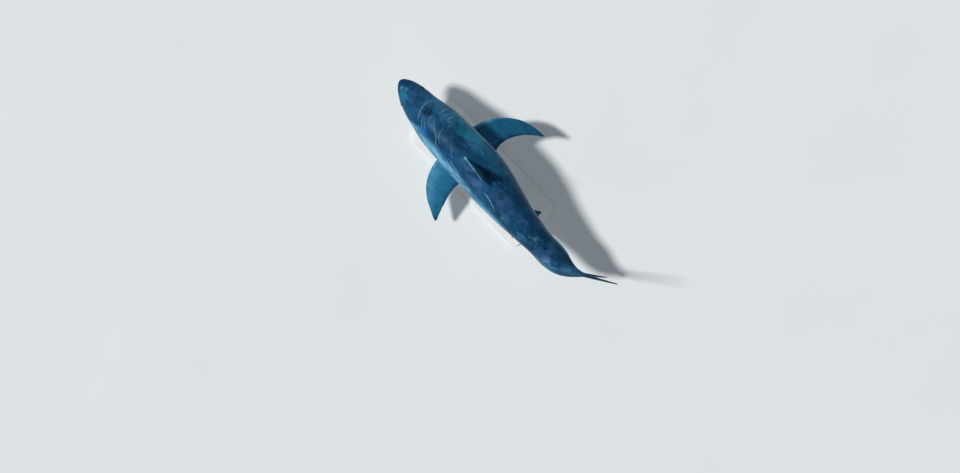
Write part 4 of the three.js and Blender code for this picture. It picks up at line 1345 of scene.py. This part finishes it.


# ---------------------------------------------------------------- finishes

# Pale lines drawn as healed scars over the nape and back, placed along lines of caustic light, so they are
# scars and painted light both: left and back from the snout tip of each corner in metres, half width,
# strength.
SCARS_AND_CAUSTICS = [
    ([(-0.23, 0.49), (-0.1, 0.473), (-0.005, 0.485), (0.077, 0.517), (0.13, 0.55)], 0.005, 0.8),
    ([(0.09, 0.588), (0.164, 0.664)], 0.005, 0.7), ([(0.08, 0.628), (0.13, 0.691)], 0.006, 0.8),
    ([(-0.082, 0.648), (-0.02, 0.64), (0.039, 0.655)], 0.005, 0.8),
    ([(-0.031, 0.7), (0.092, 0.873), (0.238, 1.025)], 0.0045, 0.75),
    ([(-0.106, 0.846), (0.071, 0.898), (0.13, 1.0)], 0.0045, 0.6),
    ([(-0.078, 1.005), (0.117, 1.216), (0.208, 1.295)], 0.0045, 0.6),
    ([(-0.136, 0.477), (-0.212, 0.548), (-0.251, 0.64)], 0.006, 0.5),
    ([(-0.128, 0.676), (-0.27, 0.73)], 0.0075, 0.7), ([(-0.154, 0.763), (-0.226, 0.791)], 0.008, 0.85),
    ([(-0.175, 0.834), (-0.252, 0.846)], 0.0075, 0.8),
    ([(0.18, 1.2), (0.195, 1.33), (0.23, 1.45), (0.285, 1.59)], 0.006, 0.7),
    # The last and widest line is a painted glint behind the first dorsal fin, drawn as a scar.
    ([(0.129, 1.864), (0.115, 1.939), (0.152, 2.13)], 0.01, 1.0),
]


def grain_group():
    """A fine grain for bumps, and a broad slow variation for colour."""
    tree, given, result = new_group(
        "surface_grain",
        [("At", "Vector"), ("Grain scale", "Float", 300.0), ("Broad scale", "Float", 4.0)],
        [("Grain", "Float"), ("Broad", "Float")],
    )
    for name, detail, rough in (("Grain", 3.0, 0.6), ("Broad", 5.0, 0.55)):
        made = plain_noise(tree, given["At"], Scale=given[f"{name} scale"], Detail=detail, Roughness=rough)
        tree.links.new(made["Fac"], result[name])
    return tree


def wear_group():
    """Fine scratches and rubbed patches on painted and metal pieces."""
    tree, given, result = new_group(
        "rubbed_wear",
        [("At", "Vector"), ("Scratch scale", "Float", 20.0), ("Amount", "Float", 0.5)],
        [("Scratches", "Float"), ("Rubbed", "Float")],
    )
    lines = 0.0
    for turn in (0.4, 1.7):
        long = {"Vector": given["At"], "Rotation": (0, 0, turn), "Scale": (1, 0.06, 1)}
        moved = put(tree, "ShaderNodeMapping", long).outputs[0]
        net = plain_noise(tree, moved, Scale=given["Scratch scale"], Detail=2.0)["Fac"]
        near = reckon(tree, "ABSOLUTE", reckon(tree, "SUBTRACT", net, 0.5))
        lines = reckon(tree, "ADD", lines, ramp(tree, near, 0.0, 0.012, 1.0, 0.0))
    where = plain_noise(tree, given["At"], Scale=3.0, Detail=3.0)["Fac"]
    amount = times(tree, ramp(tree, where, 0.45, 0.65), given["Amount"])
    tree.links.new(times(tree, lines, amount, clamp=True), result["Scratches"])
    tree.links.new(amount, result["Rubbed"])
    return tree


def scar_and_caustic_group():
    """One pale line between two corners, measured on the plan of the straight shark."""
    tree, given, result = new_group(
        "healed_scar",
        [("At", "Vector"), ("From", "Vector"), ("To", "Vector"), ("From width", "Float", 0.005),
         ("To width", "Float", 0.005)],
        [("Scar", "Float")],
    )
    run = vectors(tree, "SUBTRACT", given["To"], given["From"])
    offset = vectors(tree, "SUBTRACT", given["At"], given["From"])
    reach, whole = (vectors(tree, "DOT_PRODUCT", first, run, output="Value") for first in (offset, run))
    along = reckon(tree, "DIVIDE", reach, whole, clamp=True)
    reached = put(tree, "ShaderNodeVectorMath", {0: run, 3: along}, operation="SCALE").outputs[0]
    away = vectors(tree, "DISTANCE", offset, reached, output="Value")
    wide = put(tree, "ShaderNodeMix", {0: along, 2: given["From width"], 3: given["To width"]}).outputs[0]
    relative = reckon(tree, "DIVIDE", away, wide)
    tree.links.new(ramp(tree, relative, 0.0, 1.5, 1.0, 0.0), result["Scar"])
    return tree


def scars_and_caustics(tree, at, scar_and_caustic):
    """Every pale line together, scars and caustic light lines painted as scars, each a little crooked and
    broken.
    """
    crook = plain_noise(tree, at, Scale=5.0, Detail=2.0)["Color"]
    moved = vectors(tree, "MULTIPLY_ADD", crook, (0.06, 0.06, 0), at)
    plan = vectors(tree, "MULTIPLY", vectors(tree, "SUBTRACT", moved, (0.03, 0.03, 0)), (1, 1, 0))
    total = 0.0
    for corners, wide, strength in SCARS_AND_CAUSTICS:
        if len(corners) == 2:
            corners = [corners[0], tuple(np.mean(corners, 0)), corners[1]]
        widths = [wide * 0.3, *[wide] * (len(corners) - 2), wide * 0.3]
        for start, end, first, last in zip(corners, corners[1:], widths, widths[1:]):
            line = use(tree, scar_and_caustic, At=plan, From=(*start, 0), To=(*end, 0), From_width=first, To_width=last)
            total = reckon(tree, "MAXIMUM", total, times(tree, line.outputs["Scar"], strength))
    return times(tree, total, ramp(tree, noise(tree, at, 55.0, 3.0, 0.65), 0.34, 0.6, 0.15, 1.0))


def scratches(tree, at, behind):
    """Fine scratches in two directions, one to a long cell, in fields over the front half of the back."""
    total = 0.0
    for turn, shift in ((-47, (0, 0, 0)), (38, (3, 8, 2))):
        way = {"Rotation": (0, 0, math.radians(turn)), "Location": shift, "Scale": (1, 0.06, 1)}
        moved = put(tree, "ShaderNodeMapping", {"Vector": at, **way}).outputs[0]
        wanted = {"Vector": moved, "Scale": 24.0}
        cell = put(tree, "ShaderNodeTexVoronoi", wanted, voronoi_dimensions="2D").outputs
        left, back_along, _ = split(tree, vectors(tree, "SUBTRACT", moved, cell["Position"]))
        lean = reckon(tree, "MULTIPLY_ADD", cell["Color"], 6.0, -3.0)
        across = reckon(tree, "ABSOLUTE", reckon(tree, "MULTIPLY_ADD", back_along, lean, left))
        along = reckon(tree, "ABSOLUTE", back_along)
        where = ramp(tree, noise(tree, at, 6.0, 2.0, shift=shift), 0.52, 0.62)
        line = times(tree, ramp(tree, across, 0.0004, 0.0013, 0.5, 0.0),
                     ramp(tree, along, 0.004, 0.012, 1.0, 0.0))
        total = reckon(tree, "MAXIMUM", total, times(tree, line, where))
    fading = ramp(tree, behind, 1.3, 2.2, 1.0, 0.35)
    return times(tree, total, times(tree, ramp(tree, behind, 0.4, 0.55), fading))


def pores(tree, at, behind):
    """Small round pores scattered over the snout."""
    spots = put(tree, "ShaderNodeTexVoronoi", {"Vector": at, "Scale": 120.0, "Randomness": 0.9})
    small = ramp(tree, spots.outputs["Distance"], 0.1, 0.2, 1.0, 0.0)
    fields = ramp(tree, noise(tree, at, 14.0, 2.0, shift=(2, 2, 2)), 0.48, 0.56)
    return times(tree, small, times(tree, fields, ramp(tree, behind, 0.2, 0.32, 1.0, 0.0)))


def back_edge(tree, at):
    """Metres above the edge between back and belly, which wanders and breaks into small islands."""
    wander = times(tree, reckon(tree, "SUBTRACT", noise(tree, at, 7.0, 3.0), 0.5), 0.13)
    islands = times(tree, reckon(tree, "SUBTRACT", noise(tree, at, 30.0, 3.0, 0.6), 0.5), 0.045)
    return reckon(tree, "ADD", read(tree, "above_line"), reckon(tree, "ADD", wander, islands))


def back_colour(tree, at, broad, cloudy, mottle, edge):
    """The back: slow changes of tone, cloudy mottling, marks, some of them painted light and shade, and
    darker speckle.
    """
    uneven = ramp(tree, mottle, 0.3, 0.62, 0.4, 1.0)
    patched = ramp(tree, mottle, 0.38, 0.58, 0.1, 1.0)
    drifting = ramp(tree, mottle, 0.34, 0.52, 0.35, 1.0)
    combed = noise(tree, at, 15.0, 3.0, 0.6, (1, 0.22, 1), (1, 6, 3))
    streaky = times(tree, ramp(tree, cloudy, 0.34, 0.54, 0.4, 1.0),
                    ramp(tree, combed, 0.36, 0.56, 0.55, 1.0))
    tone = tint(tree, BACK_DEEP, BACK_MID, broad, 0.3, 0.7)
    tone = tint(tree, tone, BACK_PALE, cloudy, 0.45, 0.72, 0.5)
    tone = tint(tree, tone, BACK_VIOLET, noise(tree, at, 3.4, 3.0, 0.6, shift=(4, 1, 2)), 0.52, 0.7, 0.4)
    tones = {
        "fin": (FIN_TEAL, uneven), "teal": (BACK_TEAL, drifting), "blue": (BACK_BLUE, patched),
        "violet": (BACK_VIOLET, patched), "pale": (FLANK_PALE, streaky), "grey": (FLANK_GREY, uneven),
        "dark": (BACK_DARK, uneven),
    }
    for name, (over, broken) in tones.items():
        tone = mixed(tree, times(tree, read(tree, name), broken), tone, over)
    tone = tint(tree, tone, BACK_DARK, noise(tree, at, 60.0, 3.0, 0.7), 0.56, 0.75, 0.4)
    return mixed(tree, ramp(tree, edge, 0.0, 0.04, 0.6, 0.0), tone, BACK_EDGE)


def with_lines(tree, colour, at, blade, scar_and_caustic):
    """Scars and the caustic light lines painted as scars, scratches over the back, and pores under and beside
    the snout.
    """
    _, behind, up = split(tree, at)
    lines = reckon(tree, "MAXIMUM", scratches(tree, at, behind), scars_and_caustics(tree, at, scar_and_caustic))
    off_fins = reckon(tree, "SUBTRACT", 1.0, blade, clamp=True)
    lines = times(tree, lines, times(tree, ramp(tree, up, 0.0, 0.1), off_fins))
    colour = mixed(tree, lines, colour, SCRATCH_AND_CAUSTIC)
    return mixed(tree, times(tree, pores(tree, at, behind), 0.6), colour, PORE)


def hide_material(grain, scar_and_caustic):
    """The hide: mottled slate blue above, off-white below, and flesh inside the mouth."""
    made, tree, shader = new_material(
        "shark_hide", Roughness=0.5, Specular_IOR_Level=0.16, Coat_Roughness=0.3, Coat_IOR=1.35,
        Specular_Tint=(0.2, 0.6, 1.0, 1.0),
    )
    at, on_blade = (read(tree, name, "Vector") for name in ("straight", "blade"))
    span, chord, blade = split(tree, on_blade)
    mouth = read(tree, "mouth")
    texture = use(tree, grain, At=at, Grain_scale=700.0, Broad_scale=2.6).outputs
    cloudy = noise(tree, at, 6.0, 4.0, 0.62, (1, 0.55, 1))
    mottle = noise(tree, at, 9.0, 4.0, 0.62, (1, 0.5, 1), (5, 2, 0))

    edge = back_edge(tree, at)
    under = tint(tree, BELLY, BELLY_SHADE, noise(tree, at, 9.0, 3.0), 0.4, 0.75, 0.6)
    over = back_colour(tree, at, texture["Broad"], cloudy, mottle, edge)
    colour = mixed(tree, ramp(tree, edge, -0.003, 0.006), under, over)

    # fins: rays from root to margin, darker rear margins and tips
    rays = noise(tree, on_blade, 1.0, 2.0, 0.6, (2.5, 48, 0))
    margin = reckon(tree, "MAXIMUM", ramp(tree, chord, 0.8, 1.0, 0.0, 0.55),
                    ramp(tree, span, 0.8, 1.0, 0.0, 0.4))
    for amount in (ramp(tree, rays, 0.45, 0.75, 0.0, 0.3), margin):
        colour = mixed(tree, times(tree, blade, amount), colour, BACK_DARK)
    colour = with_lines(tree, colour, at, blade, scar_and_caustic)

    # flesh inside the mouth, and painted shade, near black, on the walls of the gill slits, nostrils and eye
    # sockets
    lining = tint(tree, MOUTH_PINK, MOUTH_DEEP, noise(tree, at, 30.0, 3.0), 0.35, 0.7)
    colour = mixed(tree, mouth, colour, lining)
    colour = tint(tree, colour, GILL_DARK, read(tree, "cut"), 0.02, 0.35, 0.95)

    rough = reckon(tree, "SUBTRACT", ramp(tree, mottle, 0.3, 0.7, 0.42, 0.6), times(tree, mouth, 0.2))
    height = times(tree, texture["Grain"], 0.00018)
    height = reckon(tree, "MULTIPLY_ADD", times(tree, rays, blade), 0.0008, height)
    height = reckon(tree, "MULTIPLY_ADD", noise(tree, at, 13.0, 2.0, 0.5, (1, 0.4, 1)), 0.0022, height)
    wire(tree, shader, (height, 1.0), Base_Color=colour, Roughness=rough,
         Coat_Weight=ramp(tree, cloudy, 0.3, 0.7, 0.02, 0.08))
    return made


def gum_material(grain):
    """Wet pink gums, deeper pink in broad patches and with fine veins."""
    made, tree, shader = new_material("wet_gum", Roughness=0.3, Coat_Weight=0.5, Coat_Roughness=0.12,
                                      Subsurface_Weight=0.25, Subsurface_Scale=0.01)
    at = on_object(tree)
    texture = use(tree, grain, At=at, Grain_scale=260.0, Broad_scale=45.0).outputs
    colour = tint(tree, GUM, GUM_DEEP, texture["Broad"], 0.35, 0.7)
    colour = tint(tree, colour, GUM_VEIN, noise(tree, at, 90.0, 4.0, 0.7, bend=1.2), 0.55, 0.68, 0.5)
    wire(tree, shader, (texture["Grain"], 0.0012), Base_Color=colour)
    return made


def tooth_material():
    """Ivory enamel, whiter towards the points and stained at the roots."""
    made, tree, shader = new_material("enamel", Roughness=0.22, Coat_Weight=0.35, Coat_Roughness=0.08,
                                      Subsurface_Weight=0.15, Subsurface_Scale=0.004)
    stain = noise(tree, on_object(tree), 120.0, 3.0)
    colour = tint(tree, ENAMEL_ROOT, ENAMEL, read(tree, "crown"), 0.15, 0.6)
    colour = tint(tree, colour, ENAMEL_ROOT, stain, 0.5, 0.75, 0.3)
    wire(tree, shader, Base_Color=colour, Roughness=ramp(tree, stain, 0.3, 0.7, 0.16, 0.3))
    return made


def eye_material():
    """A black eye with a faint dark blue ring in it, under a wet surface."""
    made, tree, shader = new_material("wet_eye", Roughness=0.14, Specular_IOR_Level=0.22, Coat_Weight=0.2,
                                      Coat_Roughness=0.08, Coat_IOR=1.3)
    away = read(tree, "from_pupil")
    fibres = noise(tree, on_object(tree), 300.0, 3.0, 0.6)
    ring = times(tree, ramp(tree, away, 0.3, 0.36), ramp(tree, away, 0.5, 0.64, 1.0, 0.0))
    ring = times(tree, ring, ramp(tree, fibres, 0.3, 0.7, 0.35, 1.0))
    wire(tree, shader, Base_Color=mixed(tree, ring, EYE_BLACK, EYE_RING))
    return made


def paint_material(grain, wear):
    """Satin white paint on board, a little rubbed and dusty."""
    made, tree, shader = new_material("board_paint", Roughness=0.45)
    at = on_object(tree)
    texture = use(tree, grain, At=at, Grain_scale=180.0, Broad_scale=2.2).outputs
    rubbed = use(tree, wear, At=at, Scratch_scale=26.0, Amount=0.6).outputs
    colour = tint(tree, PAINT, PAINT_SHADE, texture["Broad"], 0.3, 0.7)
    colour = mixed(tree, times(tree, rubbed["Scratches"], 0.25), colour, PAINT_SCRATCH)
    wire(tree, shader, (texture["Grain"], 0.0003), Base_Color=colour,
         Roughness=ramp(tree, texture["Broad"], 0.3, 0.7, 0.4, 0.55))
    return made


def steel_material(grain, wear):
    """Brushed stainless steel; the brushing runs round the turned pieces."""
    made, tree, shader = new_material("brushed_steel", Metallic=1.0, Roughness=0.32)
    at = on_object(tree)
    brushed = noise(tree, at, 90.0, 3.0, 0.6, (0.6, 0.6, 14))
    rubbed = use(tree, wear, At=at, Scratch_scale=60.0, Amount=0.8).outputs
    texture = use(tree, grain, At=at, Grain_scale=400.0, Broad_scale=14.0).outputs
    rough = ramp(tree, brushed, 0.25, 0.75, 0.26, 0.42)
    for more, share in ((rubbed["Scratches"], 0.12), (texture["Broad"], 0.06)):
        rough = reckon(tree, "MULTIPLY_ADD", more, share, rough)
    colour = mixed(tree, brushed, STEEL, STEEL_SHADE)
    wire(tree, shader, (brushed, 0.0002), Base_Color=colour, Roughness=rough)
    return made


def rubber_material(grain):
    """Dull black rubber under the body."""
    made, tree, shader = new_material("rubber_pad", Roughness=0.7, Specular_IOR_Level=0.3)
    texture = use(tree, grain, At=on_object(tree), Grain_scale=500.0, Broad_scale=20.0).outputs
    colour = mixed(tree, texture["Broad"], RUBBER, RUBBER_DUST)
    wire(tree, shader, (texture["Grain"], 0.0004), Base_Color=colour)
    return made


def floor_material():
    """Pale studio floor with the faintest unevenness."""
    made, tree, shader = new_material("studio_floor", Roughness=0.7, Specular_IOR_Level=0.2)
    wire(tree, shader, Base_Color=mixed(tree, noise(tree, on_object(tree), 0.6, 2.0), FLOOR, FLOOR_SHADE))
    return made


# ---------------------------------------------------------------- floor, light and camera

FRAMING = {"turn": 136.6, "lens": 65, "sensor": 36, "across": 12.648, "nose_left": 1.051, "nose_above": 2.062}
KEY_LIGHT = {"energy": 3.0, "spread": 7, "height": 52, "colour": (1.0, 0.98, 0.95)}  # angles in degrees
ROOM = {"Color": (0.86, 0.93, 1.0, 1), "Strength": 0.3}
FLOOR_HALF = 30


def set_camera():
    """Looks straight down from high above, the shark small and left of the view's middle."""
    turn = math.radians(FRAMING["turn"])
    right, up = Vector((math.cos(turn), math.sin(turn), 0)), Vector((-math.sin(turn), math.cos(turn), 0))
    nose = Vector(place([spot(0)])[0])
    middle = nose + right * FRAMING["nose_left"] - up * FRAMING["nose_above"]
    lens = bpy.data.cameras.new("overhead")
    lens.lens, lens.sensor_width = FRAMING["lens"], FRAMING["sensor"]
    lens.clip_end = 100
    camera = new_object("overhead", lens)
    distance = FRAMING["across"] * lens.lens / lens.sensor_width
    camera.location = (middle.x, middle.y, SPINE_HEIGHT + distance)
    camera.rotation_euler = (0, 0, turn)
    bpy.context.scene.camera = camera
    return right, up


def set_lights(right, up):
    """A soft key from the left of the view, and a pale room all round."""
    key = bpy.data.lights.new("key", "SUN")
    key.energy, key.angle = KEY_LIGHT["energy"], math.radians(KEY_LIGHT["spread"])
    key.color = KEY_LIGHT["colour"]
    lamp = new_object("key", key)
    high = math.radians(KEY_LIGHT["height"])
    travel = (right - up * 0.02) * math.cos(high) - Vector((0, 0, math.sin(high)))
    lamp.rotation_euler = travel.to_track_quat("-Z", "Y").to_euler()
    room = bpy.data.worlds.new("room")
    room.use_nodes = True
    for name, value in ROOM.items():
        room.node_tree.nodes["Background"].inputs[name].default_value = value
    bpy.context.scene.world = room
    bpy.context.scene.view_settings.view_transform = "Standard"


def set_floor():
    """A wide floor under the model, which isn't part of it."""
    mesh = bpy.data.meshes.new("floor")
    corners = [(x * FLOOR_HALF, y * FLOOR_HALF, 0) for x, y in ((-1, -1), (1, -1), (1, 1), (-1, 1))]
    mesh.from_pydata(corners, [], [(0, 1, 2, 3)])
    mesh.materials.append(floor_material())
    new_object("floor", mesh)


# ---------------------------------------------------------------- the model


def keep(piece, slot, *nodes):
    """Sets a finished piece in the frame under the root body, and hides the solids it stands for; the slot is
    not used.
    """
    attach(piece, "root")
    if nodes:
        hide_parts(*nodes)


def make_shark(grain):
    """The skin over all the flesh, the eyes, the gums and the rows of teeth."""
    flesh = ["head", "lower_jaw", "gill_region", "trunk", "rear_trunk", "tail_stalk", "first_dorsal_fin",
             "second_dorsal_fin", "anal_fin", "caudal_upper_lobe", "caudal_lower_lobe", "pectoral_fin_left",
             "pectoral_fin_right", "pelvic_fin_left", "pelvic_fin_right"]
    keep(shark_skin(hide_material(grain, scar_and_caustic_group())), "skin", *flesh)
    wet = eye_material()
    for side, way in (("left", 1), ("right", -1)):
        keep(eyeball(f"eyeball_{side}", way, wet), "eye", f"eye_{side}")
    flesh_pink, enamel, tree = gum_material(grain), tooth_material(), tooth_row_tree()
    jaws = {
        "upper": (UPPER_ARCH, belly, -1, UPPER_TEETH),
        "lower": (LOWER_ARCH, jaw_top, 1, LOWER_TEETH),
    }
    for jaw, (arch, surface, way, teeth) in jaws.items():
        keep(gum(f"{jaw}_gum", arch, surface, teeth, flesh_pink), "gum", f"{jaw}_gum_and_teeth")
        for row in range(len(TOOTH_ROWS)):
            keep(tooth_row(f"{jaw}_teeth_{row + 1}", tree, arch, surface, way, teeth, row, enamel), "teeth")


def make_stand(grain, wear):
    """The board, and the two posts that hold the body up."""
    steel, rubber = steel_material(grain, wear), rubber_material(grain)
    keep(stand_board(paint_material(grain, wear)), "stand_base", "stand_base")
    screws = screw_ring_tree()
    for end in ("front", "rear"):
        stand_post(end, steel, rubber, screws)


right, up = set_camera()
set_lights(right, up)
set_floor()
grain, wear = grain_group(), wear_group()
make_shark(grain)
make_stand(grain, wear)
